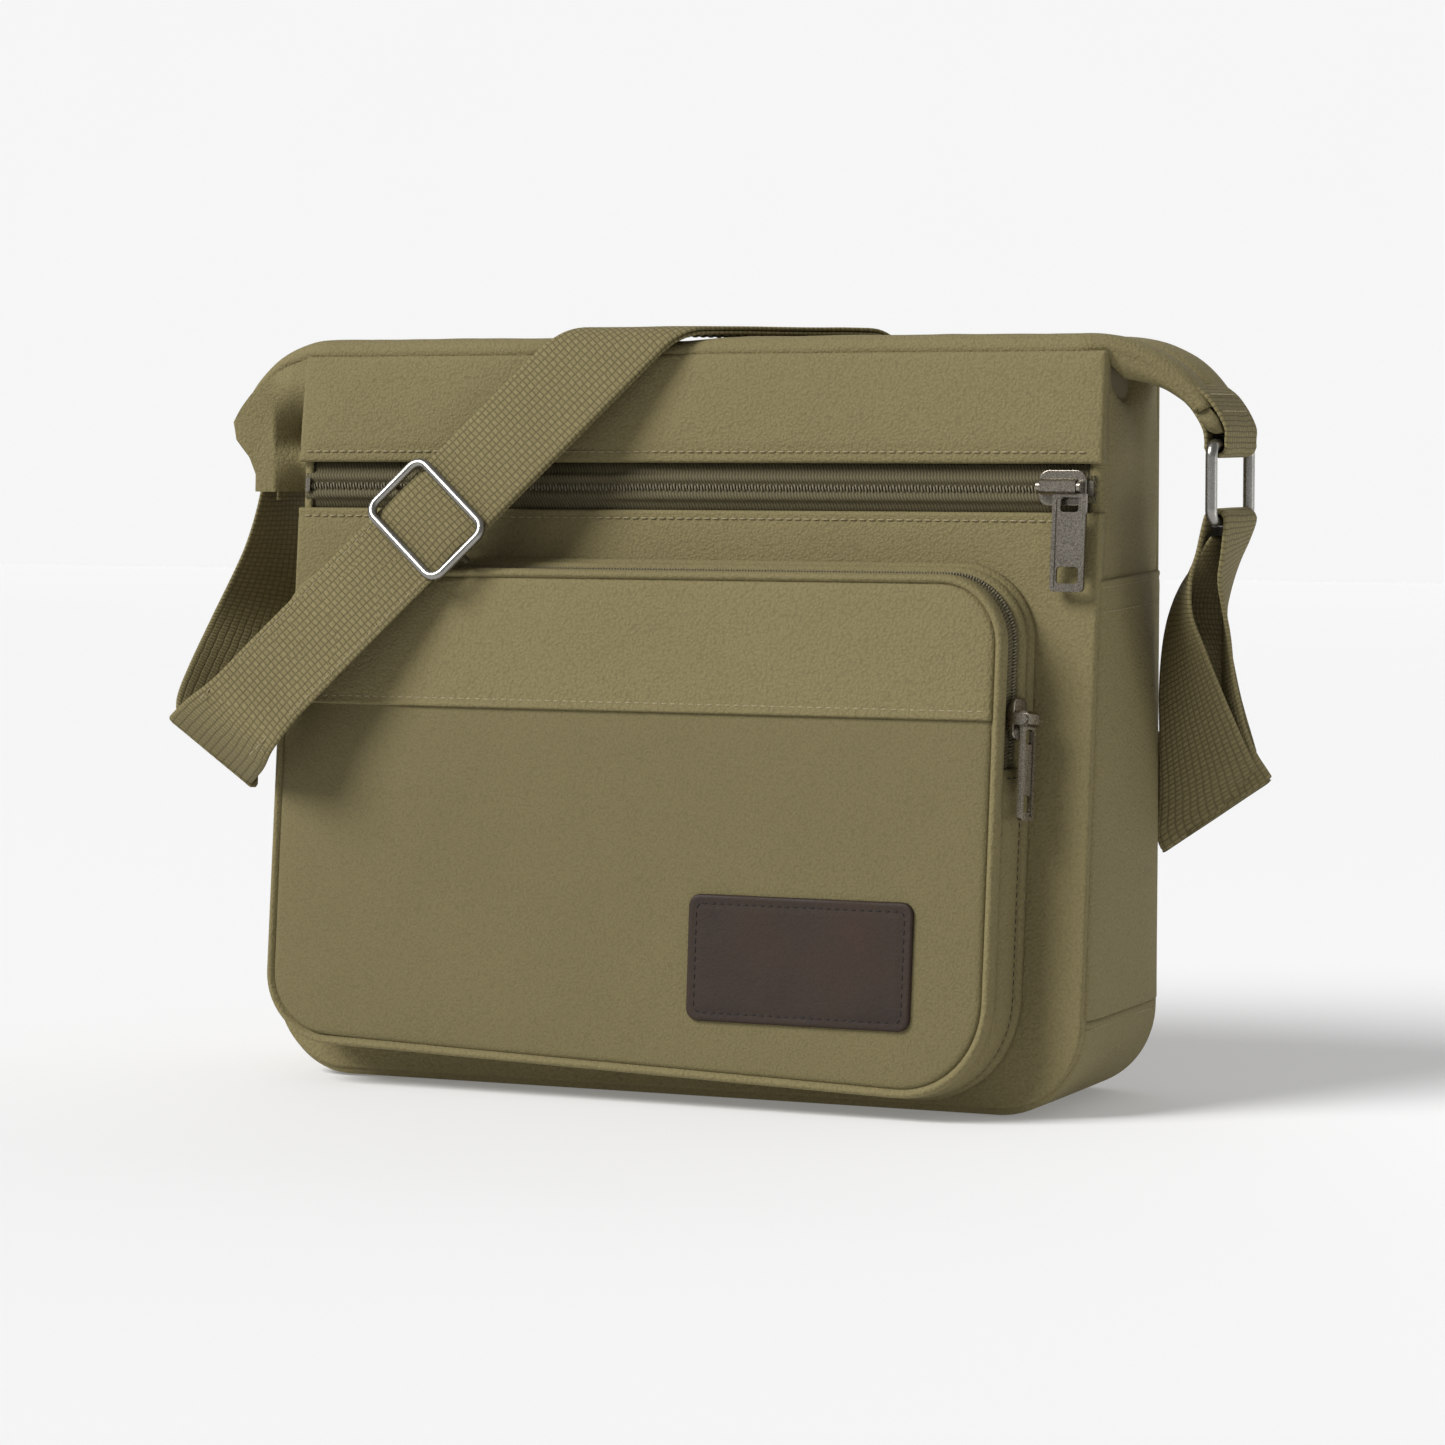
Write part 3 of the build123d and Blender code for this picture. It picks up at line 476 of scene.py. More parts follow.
def dashes(name, paths, pitch, length, radius, sink=0.0):
    """A row of short rounded bars along each path: stitches, or a zip's teeth when turned.

    Each path is (points, normals); the bars lie along it, sunk into the cloth at their ends."""
    points, faces = [], []
    shape = [(-0.5, 0.35, -0.55), (-0.36, 0.9, -0.1), (0.0, 1.0, 0.1), (0.36, 0.9, -0.1),
             (0.5, 0.35, -0.55)]
    angles = np.linspace(0, 2 * math.pi, 7)[:-1]
    ring = grid_faces(len(shape), 6, False, True)
    for path, normals in paths:
        lengths = along_path(path)
        for middle in np.arange(pitch / 2, lengths[-1] - pitch / 3, pitch):
            reach = middle + np.array([share * length for share, *_ in shape])
            centre = at(path, lengths, reach)
            normal = at(normals, lengths, reach)
            forward = centre[-1] - centre[0]
            forward /= max(np.linalg.norm(forward), 1e-12)
            side = np.cross(normal, forward)
            start = len(points) * 30
            bar = [centre[i] + normal[i] * (rise * radius - sink)
                   + swell * radius * (math.cos(angle) * side[i] + math.sin(angle) * normal[i])
                   for i, (_, swell, rise) in enumerate(shape) for angle in angles]
            points.append(bar)
            faces.append(ring + start)
            faces.append(np.array([[start, start + 1, start + 2, start + 3],
                                   [start, start + 3, start + 4, start + 5],
                                   [start + 24, start + 25, start + 26, start + 27],
                                   [start + 24, start + 27, start + 28, start + 29]]))
    return build(name, np.array(points).reshape(-1, 3), np.concatenate(faces))

# ------------------------------------------------------------ body walls

side_edge = body_half - 0.5 * mm
seam_roll = 2.0 * mm
seam_set = 2.2 * mm               # how far behind the front panel the side cloth starts


def front_wall(name, outline, depth_at, replaced, material=body_canvas, back=-6 * mm, step=2.2 * mm):
    """A padded panel on the leaning front wall; depth_at gives its depth from places and edge distance."""
    places = panel_places(outline, step)
    distance = edge_distance(places, outline)
    x, z = places[..., 0], places[..., 1]
    depth = depth_at(x, z, distance)
    outer = on_front(x, z, depth)
    inner = on_front(x, z, np.minimum(depth - 0.6 * mm, back))
    obj = place(shell(name, outer, inner), material, replaced=replaced, slot="body_fabric")
    return obj


def lower_depth(x, z, distance):
    """The front wall below its zip: a folded welt along the top and soft rolled sides."""
    sides = np.minimum(np.minimum(side_edge - np.abs(x), z), 60 * mm)
    surface = rolled(np.minimum(distance, 60 * mm), 1.2 * mm)
    top_edge = window_bottom - z
    surface = np.where(top_edge < sides, rolled(top_edge, 1.1 * mm), surface)
    soft = np.clip(distance / (8 * mm), 0, 1)
    surface = surface + crowned(distance, 1.0 * mm, 16 * mm)
    surface = surface + groove(np.abs(z - window_bottom + 3.1 * mm), 0.45 * mm, 0.8 * mm)
    points = np.stack([x, z, np.zeros_like(x)], -1)
    return surface + soft * (0.45 * mm * wobble(points, 48 * mm) + 0.12 * mm * wobble(points, 13 * mm, 7.0))


lower_outline = rounded(-side_edge, side_edge, 3.2 * mm, window_bottom,
                        (31 * mm, 0.4 * mm, 0.4 * mm, 31 * mm))
front_wall("front_wall", lower_outline, lower_depth, ("front_panel", "piping_front"))

yoke_top = body_top - 3.4 * mm
yoke_bottom = window_top + 0.2 * mm
yoke_outline = np.array([(x, yoke_bottom) for x in np.linspace(-side_edge, side_edge, 80)]
                        + [(side_edge, z) for z in np.linspace(yoke_bottom, yoke_top, 20)]
                        + [(x, yoke_top) for x in np.linspace(side_edge, -side_edge + 1.5 * mm, 80)]
                        + [(-side_edge + 1.5 * mm * share ** 2,
                            yoke_bottom + (yoke_top - yoke_bottom) * share)
                           for share in np.linspace(1, 0, 20)])


def yoke_depth(x, z, distance):
    """The wall above the zip: its folded lower edge stands over the zip's window."""
    lower_edge = z - yoke_bottom
    others = np.minimum(side_edge - np.abs(x), yoke_top - z)
    surface = np.where(lower_edge < others, rolled(lower_edge, 1.2 * mm), rolled(distance, 1.3 * mm))
    surface = surface + crowned(distance, 1.3 * mm, 7 * mm)
    surface = surface + groove(np.abs(lower_edge - 4.3 * mm), 0.45 * mm, 0.8 * mm)
    points = np.stack([x, z, np.zeros_like(x)], -1)
    soft = np.clip(distance / (8 * mm), 0, 1)
    return surface + 0.8 * mm + soft * (0.5 * mm * wobble(points, 40 * mm, 3.0)
                                        + 0.15 * mm * wobble(points, 11 * mm, 9.0))


front_wall("front_yoke_cloth", yoke_outline, yoke_depth, ("front_yoke",))

back_outline = rounded(-side_edge, side_edge, 0.8 * mm, body_top - 0.5 * mm,
                       (32.5 * mm, 3 * mm, 3 * mm, 32.5 * mm))
back_places = panel_places(back_outline, 3.5 * mm)
back_distance = edge_distance(back_places, back_outline)
back_flat = np.stack([back_places[..., 0], back_places[..., 1], np.zeros(back_distance.shape)], -1)
back_depth = (rolled(back_distance, seam_roll) + crowned(back_distance, 1.4 * mm, 26 * mm)
              + 0.7 * mm * wobble(back_flat, 55 * mm, 5.0) * np.clip(back_distance / (10 * mm), 0, 1))
back_surface = np.stack([back_places[..., 0], body_back + back_depth, back_places[..., 1]], -1)
back_inner = back_surface.copy()
back_inner[..., 1] = body_back - 6 * mm
back_cloth = place(shell("back_cloth", back_surface, back_inner), body_canvas,
                   replaced=("back_panel", "piping_back"), slot="body_fabric")


def side_depth(share, z):
    """How far forward the side wall is: share 0 at the front seam and 1 at the back one."""
    front = wall_y(z) + seam_set
    back = body_back - 1.6 * mm
    return front + share * (back - front), back - front


def side_sheet(sign, bottom, top_front_z, top_back_z, lift, edge_drop, pull=0.0):
    """Outer points of a sheet on a side wall, from front to back and bottom to top."""
    columns = spacing(80 * mm, 2.2 * mm) / (80 * mm)
    top = top_front_z + columns * (top_back_z - top_front_z)
    rise = spacing(1.0 * (top_front_z - bottom), 2.6 * mm) / (top_front_z - bottom)
    z = bottom + rise[:, None] * (top - bottom)[None, :]
    share = np.broadcast_to(columns, z.shape)
    y, width = side_depth(share, z)
    distance = np.minimum(share, 1 - share) * width
    x = body_half + lift - 1.6 * mm + rolled(distance, edge_drop) + crowned(distance, 2.1 * mm, 7 * mm)
    folds = np.stack([np.zeros_like(z), y, z], -1)
    high = np.clip((z - 150 * mm) / (110 * mm), 0, 1)
    x = x + (0.25 * mm + 1.1 * mm * high) * wobble(folds, (1, 17 * mm, 60 * mm), sign * 4.0)
    if pull:
        reach = np.clip((z - 244 * mm) / (36 * mm), 0, 1) ** 2
        x = x + pull * reach * np.sin(math.pi * share) ** 1.3
        crease = np.exp(-((share - 0.2 - 0.35 * (1 - reach)) / 0.15) ** 2)
        x = x - 4.0 * mm * crease * np.clip((z - 246 * mm) / (22 * mm), 0, 1)
        x = x - 17 * mm * np.exp(-((share - 0.36) / 0.2) ** 2 - ((z - 275 * mm) / (8 * mm)) ** 2)
    return np.stack([sign * x, y, z], -1), distance


def sheet_solid(name, outer, sign, thickness, material, replaced):
    """A side sheet made solid by a copy of it further in."""
    inner = outer.copy()
    inner[..., 0] -= sign * thickness
    return place(shell(name, outer, inner), material, replaced=replaced, slot="body_fabric")


for side, sign in (("left", -1), ("right", 1)):
    outer, _ = side_sheet(sign, side_seam + 0.3 * mm, body_top - 5 * mm, body_top - 2 * mm, 0.0, seam_roll,
                          7 * mm)
    gusset = sheet_solid("gusset_cloth_" + side, outer, sign, 2.2 * mm, body_canvas, ("gusset_" + side,))
    pocket_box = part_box("side_pocket_" + side)
    outer, _ = side_sheet(sign, side_seam + 0.4 * mm, pocket_box[1].z - 2.2 * mm, pocket_box[1].z, 1.5 * mm,
                          seam_roll)
    hem = outer[-1, :, 2][None, :] - outer[..., 2]
    outer[..., 0] += sign * (0.7 * rolled(hem, 1.0 * mm) + groove(hem - 3.2 * mm, 0.5 * mm, 0.8 * mm)
                             + groove(hem - 10.5 * mm, 0.35 * mm, 0.8 * mm))
    sheet_solid("slip_pocket_" + side, outer, sign, 1.2 * mm, body_canvas, ("side_pocket_" + side,))
    lines = []
    for below in (3.2 * mm, 10.5 * mm):
        row = np.argmin(np.abs(hem[:, hem.shape[1] // 2] - below))
        lines.append((outer[row, 3:-3] + [sign * 0.15 * mm, 0, 0],
                      np.tile([sign, 0.0, 0.0], (outer.shape[1] - 6, 1))))
    place(dashes("slip_pocket_stitches_" + side, lines, 3.6 * mm, 2.6 * mm, 0.26 * mm), pale_thread)

# The base wraps round the bottom corners up to the side seams.
corner = 33 * mm
flat_half = body_half - corner
base_route = ([(body_half, z, 1.0, 0.0) for z in np.linspace(side_seam, corner, 4)[:-1]]
              + [(flat_half + corner * math.cos(a), corner - corner * math.sin(a), math.cos(a),
                  -math.sin(a))
                 for a in np.linspace(0, math.pi / 2, 22)]
              + [(x, 0.0, 0.0, -1.0) for x in np.linspace(flat_half, 0, 30)[1:]])
base_route = np.array(base_route + [(-x, z, -nx, nz) for x, z, nx, nz in base_route[-2::-1]])
base_columns = spacing(90 * mm, 2.6 * mm) / (90 * mm)
base_z = np.broadcast_to(base_route[:, 1][:, None], (len(base_route), len(base_columns)))
base_y, base_width = side_depth(np.broadcast_to(base_columns, base_z.shape), base_z)
base_distance = np.minimum(base_columns, 1 - base_columns)[None, :] * base_width
lift = rolled(base_distance, 2.6 * mm) - 0.3 * mm
climb = np.clip(base_z / (20 * mm), 0, 1)
seam_dip = 0.7 * mm * np.exp(-((side_seam - base_z) / (0.9 * mm)) ** 2)
lift = lift + climb * crowned(base_distance, 0.9 * mm, 14 * mm) - seam_dip


def base_points(extra):
    """The base's surface, moved outward by extra."""
    out = lift + extra
    return np.stack([base_route[:, 0][:, None] + base_route[:, 2][:, None] * out, base_y,
                     base_z + base_route[:, 3][:, None] * out], -1)


place(shell("base_cloth", base_points(0.0), base_points(-2.2 * mm)), body_canvas,
      replaced=("bottom_panel",), slot="body_fabric")
base_lines = []
for sign in (-1, 1):
    z = np.full(40, side_seam - 3.4 * mm)
    y, _ = side_depth(np.linspace(0.02, 0.98, 40), z)
    base_lines.append((np.stack([np.full(40, sign * (body_half + 0.25 * mm)), y, z], -1),
                       np.tile([sign, 0.0, 0.0], (40, 1))))
place(dashes("base_stitches", base_lines, 3.2 * mm, 2.2 * mm, 0.26 * mm), pale_thread)

# ------------------------------------------------------------ stitches on the front wall

def front_line(z, depth, left=-side_edge + 3 * mm, right=side_edge - 3 * mm):
    """A level line on the front wall and its normals, for stitches."""
    x = np.linspace(left, right, 200)
    return on_front(x, z, depth), np.tile(front_out, (200, 1))


place(dashes("front_stitches",
             [front_line(yoke_bottom + 4.3 * mm, 1.35 * mm),
              front_line(window_bottom - 3.1 * mm, 0.3 * mm)],
             3.75 * mm, 2.8 * mm, 0.36 * mm), pale_thread)

# ------------------------------------------------------------ zips

tape_profile = [(9.3, -3.4), (6.0, -3.1), (5.2, -2.4), (4.9, -1.7), (4.3, -1.1), (3.4, -0.9), (2.5, -1.1),
                (2.0, -1.6), (1.5, -2.0), (0.9, -2.1), (0.4, -2.4)]


def zip_tapes(name, path, across, outward, material, replaced, body="bag", profile=tape_profile):
    """The two tapes of a zip: a profile of (distance from the middle, height) swept along a path."""
    shape = np.array(profile) * mm
    lengths = along_path(path)
    tapes = []
    for sign in (1, -1):
        sideways = sign * shape[None, :, :1] * across[:, None]
        outer = path[:, None] + sideways + shape[None, :, 1:] * outward[:, None]
        inner = outer - 0.5 * mm * outward[:, None]
        uv = np.stack(np.broadcast_arrays(sign * shape[None, :, 0], lengths[:, None]), -1)
        tapes.append(place(shell(f"{name}_{'a' if sign > 0 else 'b'}", outer, inner, uv=uv), material,
                           body=body, replaced=replaced, slot="zip_tape"))
    return tapes


def zip_teeth(name, path, across, outward, height, replaced, pitch=1.25 * mm):
    """The coil's turns, crossing the middle of the zip."""
    lengths = along_path(path)
    turns = []
    for number, middle in enumerate(np.arange(pitch, lengths[-1] - pitch, pitch)):
        centre = at(path, lengths, [middle])[0]
        side = at(across, lengths, [middle])[0]
        up = at(outward, lengths, [middle])[0]
        shift = 0.25 * mm * (1 if number % 2 else -1)
        reach = np.linspace(-1.3 * mm, 1.3 * mm, 5) + shift
        lean_way = np.cross(up, side) * (reach[:, None] * 0.25)
        turns.append((centre + side * reach[:, None] + lean_way + up * height, np.tile(up, (5, 1))))
    return place(dashes(name, turns, 2.6 * mm, 2.5 * mm, 0.42 * mm), coil_plastic, replaced=replaced,
                 slot="zip_coil")


def straight(start, end, across, outward, count=60):
    """A straight zip's path and its directions."""
    path = start + np.linspace(0, 1, count)[:, None] * (end - start)
    return path, np.tile(across, (count, 1)), np.tile(outward, (count, 1))


front_zip_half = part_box("front_zip_tape")[1].x
front_zip = straight(on_front(-front_zip_half, zip_middle), on_front(front_zip_half, zip_middle), front_up,
                     front_out)
zip_tapes("front_zip_cloth", *front_zip, tape_weave, ("front_zip_tape",))
zip_teeth("front_zip_turns", *front_zip, -1.55 * mm, ("front_zip_coil",))

top_zip_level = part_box("top_zip_tape")[1].z
top_zip_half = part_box("top_zip_tape")[1].x
top_zip = straight(np.array([-top_zip_half, top_middle, top_zip_level + 2.4 * mm]),
                   np.array([top_zip_half, top_middle, top_zip_level + 2.4 * mm]),
                   np.array([0.0, 1.0, 0.0]), np.array([0.0, 0.0, 1.0]))
zip_tapes("top_zip_cloth", *top_zip, tape_weave, ("top_zip_tape",))
zip_teeth("top_zip_turns", *top_zip, -1.55 * mm, ("top_zip_coil",))

# ------------------------------------------------------------ cargo pocket

pocket_depth = ((node_points("pocket_band") @ front_out).max() - front_y * front_out[1]) + 0.6 * mm
pocket_taper = 5.0 / 26.8
pocket_left, pocket_right = -155.5 * mm, 138.5 * mm
pocket_bottom, pocket_top = 14.7 * mm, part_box("pocket_yoke")[1].z + 2.3 * mm
pocket_radii = np.array([33.0, 23.0, 23.0, 25.0]) * mm
pocket_yoke_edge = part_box("pocket_yoke")[0].z - 2.6 * mm


def pocket_outline(depth, grow=0.0):
    """The pocket's outline at a depth from the wall, grown outward; its base rises to the left."""
    out = (pocket_depth - depth) * pocket_taper + grow
    outline = rounded(pocket_left - out, pocket_right + out, pocket_bottom - out, pocket_top + out,
                      pocket_radii + out)
    low = np.clip((105 * mm - outline[:, 1]) / (85 * mm), 0, 1)
    outline[:, 1] += low * (-8 * mm - outline[:, 0]) * 0.03
    return outline


def pocket_surface(profile, first=0, last=None):
    """Points of a profile of (depth, grow) in millimetres swept round the pocket."""
    loops = []
    for depth, grow in np.array(profile) * mm:
        outline = pocket_outline(depth, grow)
        loops.append(on_front(outline[:, 0], outline[:, 1], depth))
    points = np.stack(loops, 1)
    return points if last is None else points[first:last]


reference = pocket_outline(13.6 * mm)
zip_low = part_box("pocket_zip_tape")[0].z - 1.5 * mm
zip_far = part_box("pocket_zip_tape")[0].x
zip_first = next(i for i in range(len(reference)) if reference[i, 0] > 0 and reference[i, 1] > zip_low)
zip_last = max(i for i in range(len(reference)) if reference[i, 1] > 150 * mm and reference[i, 0] > zip_far)


def pocket_ring(name, profile, material, replaced, slot="body_fabric"):
    """A closed ring round the pocket: the profile is a closed loop."""
    points = pocket_surface(profile)
    rows, columns = points.shape[:2]
    obj = build(name, points.reshape(-1, 3), grid_faces(rows, columns, True, True))
    return place(obj, material, replaced=replaced, slot=slot)


band_profile = [(25.6, -0.6), (26.6, 0.1), (27.0, 1.0), (26.7, 1.9), (25.4, 2.3), (23.2, 2.2), (21.2, 1.7),
                (19.8, 1.0), (19.0, 0.2), (18.8, -1.0), (20.5, -2.2), (24.6, -2.2)]
pocket_ring("pocket_piping", band_profile, body_canvas, ("pocket_band",))

rear_profile = [(0.2, -1.2), (0.4, 0.6), (1.4, 1.5), (2.8, 1.8), (4.2, 1.4), (5.2, 0.5), (5.5, -0.8),
                (3.0, -1.6)]
pocket_ring("pocket_rear_piping", rear_profile, body_canvas, ())


def pocket_sheet(name, profile, first, last, material, replaced, slot, thickness=0.9):
    """A stretch of the pocket's side wall, between two places on its outline."""
    inner_profile = [(depth, grow - thickness) for depth, grow in profile]
    outer, inner = pocket_surface(profile), pocket_surface(inner_profile)
    order = np.arange(first, last) % len(outer)
    lengths = along_path(outer[order, 0])
    reach = np.array([depth for depth, _ in profile]) * mm
    uv = np.stack(np.broadcast_arrays(reach[None, :], lengths[:, None]), -1)
    return place(shell(name, outer[order], inner[order], uv=uv), material, replaced=replaced, slot=slot)


wall_profile = [(19.2, -0.9), (18.6, 0.0), (17.6, 0.7), (15.5, 1.2), (12.5, 1.5), (9.5, 1.4), (7.6, 1.1),
                (6.7, 0.55), (5.9, 0.9), (5.0, 0.2), (4.6, -0.8)]
outline_count = len(reference)
pocket_sheet("pocket_side_cloth", wall_profile, zip_last, outline_count + zip_first, body_canvas,
             ("pocket_gusset",), "body_fabric", 1.2)
rear_lip = [(10.9, -1.4), (10.9, 0.1), (10.3, 0.9), (9.2, 1.4), (7.9, 1.5), (6.7, 1.1), (5.8, 0.3),
            (5.4, -0.8)]
pocket_sheet("pocket_zip_lip", rear_lip, zip_first - 1, zip_last + 1, body_canvas, ("pocket_top_gusset",),
             "body_fabric")
tape_run = [(19.3, -1.6), (18.0, -0.7), (17.0, -0.1), (15.6, 0.2), (14.7, 0.0), (14.2, -0.5), (13.0, -0.5),
            (12.5, 0.0),
            (11.8, 0.1), (10.9, -0.3), (10.4, -1.4)]
pocket_sheet("pocket_zip_cloth", tape_run, zip_first - 1, zip_last + 1, tape_weave, ("pocket_zip_tape",),
             "zip_tape")

zip_path = pocket_surface([(13.6, 0.0)])[:, 0][zip_first:zip_last]
zip_forward = np.gradient(zip_path, axis=0)
zip_forward /= np.linalg.norm(zip_forward, axis=1, keepdims=True)
side_way = pocket_surface([(15.6, 0.0)])[:, 0][zip_first:zip_last] - zip_path
side_way /= np.linalg.norm(side_way, axis=1, keepdims=True)
zip_out = np.cross(zip_forward, side_way)
zip_out *= np.sign((zip_out[5] @ [1, 0, 0]))
zip_teeth("pocket_zip_turns", zip_path, side_way, zip_out, 0.25 * mm, ("pocket_zip_coil",), 1.15 * mm)

# The tab that closes the zip's lower end, with its stitches.
stitch_route = pocket_surface([(6.75, 0.75)])[:, 0]
stitch_out = pocket_surface([(6.75, 3.75)])[:, 0] - stitch_route
stitch_out /= np.linalg.norm(stitch_out, axis=1, keepdims=True)
order = np.arange(zip_last, outline_count + zip_first) % outline_count
tab_cross = pocket_surface([(depth, grow + 0.25) for depth, grow in wall_profile[2:-2]])
below_zip = np.argmin(np.abs(reference[:zip_first, 1] - (zip_low - 4 * mm)))
tab_line = tab_cross[below_zip]
tab_out = np.tile(front_out * 0.3 + np.array([0.95, 0, 0]), (len(tab_line), 1))
place(dashes("pocket_side_stitches", [(stitch_route[order], stitch_out[order]), (tab_line, tab_out)],
             3.2 * mm, 2.2 * mm, 0.24 * mm), leather_thread)

face_outline = pocket_outline(pocket_depth, -0.35 * mm)
lower_face = face_outline.copy()
lower_face[:, 1] = np.minimum(lower_face[:, 1], pocket_yoke_edge + 2.5 * mm)
upper_face = face_outline.copy()
upper_face[:, 1] = np.maximum(upper_face[:, 1], pocket_yoke_edge)


def face_soft(x, z, seed):
    """The slight unevenness of the padded pocket front."""
    points = np.stack([x, z, np.zeros_like(x)], -1)
    return 0.7 * mm * wobble(points, 62 * mm, seed) + 0.18 * mm * wobble(points, 16 * mm, seed + 4)


def face_depth(x, z):
    """The pocket front's shape without its seam between yoke and panel."""
    distance = edge_distance(np.stack([x, z], -1), face_outline)
    return (pocket_depth - 0.4 * mm + rolled(distance, 2.2 * mm) + crowned(distance, 2.2 * mm, 22 * mm)
            + face_soft(x, z, 2.0) * np.clip(distance / (12 * mm), 0, 1))


def lower_face_depth(x, z, distance):
    """The large lower panel, which runs in under the yoke's folded edge."""
    under = np.exp(-np.clip(pocket_yoke_edge - z, 0, 1) / (7 * mm))
    return face_depth(x, z) - 0.9 * mm * under


def upper_face_depth(x, z, distance):
    """The yoke, whose folded lower edge stands proud of the panel."""
    lower_edge = z - pocket_yoke_edge
    return (face_depth(x, z) + 0.7 * mm * np.exp(-lower_edge / (14 * mm))
            + 0.9 * rolled(lower_edge, 0.9 * mm)
            + groove(lower_edge - 3.3 * mm, 0.45 * mm, 0.8 * mm))


def pocket_panel(name, outline, depth_at, material, replaced, slot):
    """A padded panel of the pocket's front."""
    places = panel_places(outline, 2.0 * mm)
    x, z = places[..., 0], places[..., 1]
    depth = depth_at(x, z, None)
    outer = on_front(x, z, depth)
    inner = on_front(x, z, np.minimum(depth - 0.6 * mm, pocket_depth - 3.2 * mm))
    obj = place(shell(name, outer, inner), material, replaced=replaced, slot=slot)
    return obj


pocket_panel("pocket_face", lower_face, lower_face_depth, pocket_canvas, ("pocket_front",), "pocket_fabric")
pocket_panel("pocket_face_yoke", upper_face, upper_face_depth, body_canvas, ("pocket_yoke",), "body_fabric")
line_x = np.linspace(pocket_left + 2.5 * mm, pocket_right - 2.5 * mm, 160)
line_z = np.full(160, pocket_yoke_edge + 3.3 * mm)
line_depth = upper_face_depth(line_x, line_z, None)
place(dashes("pocket_yoke_stitches",
             [(on_front(line_x, line_z, line_depth + 0.1 * mm), np.tile(front_out, (160, 1)))],
             3.7 * mm, 2.8 * mm, 0.36 * mm), pale_thread)

# ------------------------------------------------------------ leather patch

patch_low, patch_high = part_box("leather_patch")
patch_low.z -= 2.9 * mm
patch_high.z -= 2.9 * mm
patch_outline = rounded(patch_low.x, patch_high.x, patch_low.z, patch_high.z, np.full(4, 4.6 * mm))
patch_places = panel_places(patch_outline, 1.2 * mm)
patch_distance = edge_distance(patch_places, patch_outline)
patch_x, patch_z = patch_places[..., 0], patch_places[..., 1]
patch_base = lower_face_depth(patch_x, patch_z, None)
patch_rise = 1.5 * mm + rolled(patch_distance, 0.9 * mm)
patch_rise = patch_rise + groove(patch_distance - 3.3 * mm, 0.3 * mm, 0.6 * mm)
patch = shell("patch_leather", on_front(patch_x, patch_z, patch_base + patch_rise),
              on_front(patch_x, patch_z, patch_base - 0.6 * mm))
place(patch, leather, replaced=("leather_patch",), slot="leather")
inset = rounded(patch_low.x + 3.3 * mm, patch_high.x - 3.3 * mm,
                patch_low.z + 3.3 * mm, patch_high.z - 3.3 * mm,
                np.full(4, 2.6 * mm))
inset = np.concatenate([inset, inset[:1]])
inset_depth = lower_face_depth(inset[:, 0], inset[:, 1], None) + 1.42 * mm
place(dashes("patch_stitches",
             [(on_front(inset[:, 0], inset[:, 1], inset_depth), np.tile(front_out, (len(inset), 1)))],
             3.3 * mm, 2.3 * mm, 0.26 * mm), leather_thread)

# ------------------------------------------------------------ top strips and ears

ear_start = 158 * mm
ear_radius = 51.8 * mm
ear_turn = math.radians(61)
ear_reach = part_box("top_strip_front")[1].x
zip_gap = 2.2 * mm


def strip_route(first, last, step):
    """Points over the bag's top and down its ears: (x, z, outward x, outward z), from s=first to last."""
    rows = []
    for s in np.linspace(first, last, int((last - first) / step) + 2):
        side = 1 if s >= 0 else -1
        angle = max(0.0, (abs(s) - ear_start) / ear_radius)
        x = min(abs(s), ear_start) + ear_radius * math.sin(angle)
        z = crest - ear_radius * (1 - math.cos(angle))
        rows.append((side * x, z, side * math.sin(angle), math.cos(angle)))
    return np.array(rows)


strip_length = ear_start + ear_radius * ear_turn
route = strip_route(-strip_length, strip_length, 2.4 * mm)


def strip_edge(x, outer_y):
    """The strips narrow from the body's depth to the ears' tips."""
    share = np.clip((np.abs(x) - ear_start) / (ear_reach - ear_start), 0, 1)
    tip = top_middle + math.copysign(20 * mm, outer_y - top_middle)
    return outer_y + share * (tip - outer_y)


def top_strip(name, outer_y, profile, replaced):
    """One rolled strip beside the main zip: profile points are (distance from the edge, height)."""
    shape = np.array(profile) * mm
    edge_y = strip_edge(route[:, 0], outer_y)
    inner_y = top_middle + math.copysign(zip_gap, outer_y - top_middle)
    reach = (inner_y - edge_y)[:, None] * (shape[:, 0] / shape[-1, 0])[None, :]
    y = edge_y[:, None] + reach
    shrink = 1 - 0.35 * np.clip((np.abs(route[:, 0]) - ear_start) / (ear_reach - ear_start), 0, 1)
    height = shape[None, :, 1] * shrink[:, None]
    flat = np.stack([np.broadcast_to(route[:, 0][:, None], y.shape), y,
                     np.broadcast_to(route[:, 1][:, None], y.shape)], -1)
    height = height + 0.5 * mm * wobble(flat, 34 * mm, 12.0) + 0.12 * mm * wobble(flat, 9 * mm, 15.0)
    from_strap = flat[..., 0] + 30 * mm - 0.85 * (flat[..., 1] - top_front)
    height = height - 1.7 * mm * np.exp(-(from_strap / (30 * mm)) ** 4)
    away = np.stack([route[:, 2], np.zeros(len(route)), route[:, 3]], -1)[:, None]
    outer = flat + height[..., None] * away
    middle = outer.mean(axis=1, keepdims=True)
    middle[..., 0] -= 2.4 * mm * route[:, 2][:, None]
    middle[..., 2] -= 2.4 * mm * route[:, 3][:, None]
    inner = outer + (middle - outer) * 0.12
    inner -= 1.6 * mm * np.stack([route[:, 2], np.zeros(len(route)), route[:, 3]], -1)[:, None]
    obj = place(shell(name, outer, inner), body_canvas, replaced=replaced, slot="body_fabric")
    return obj


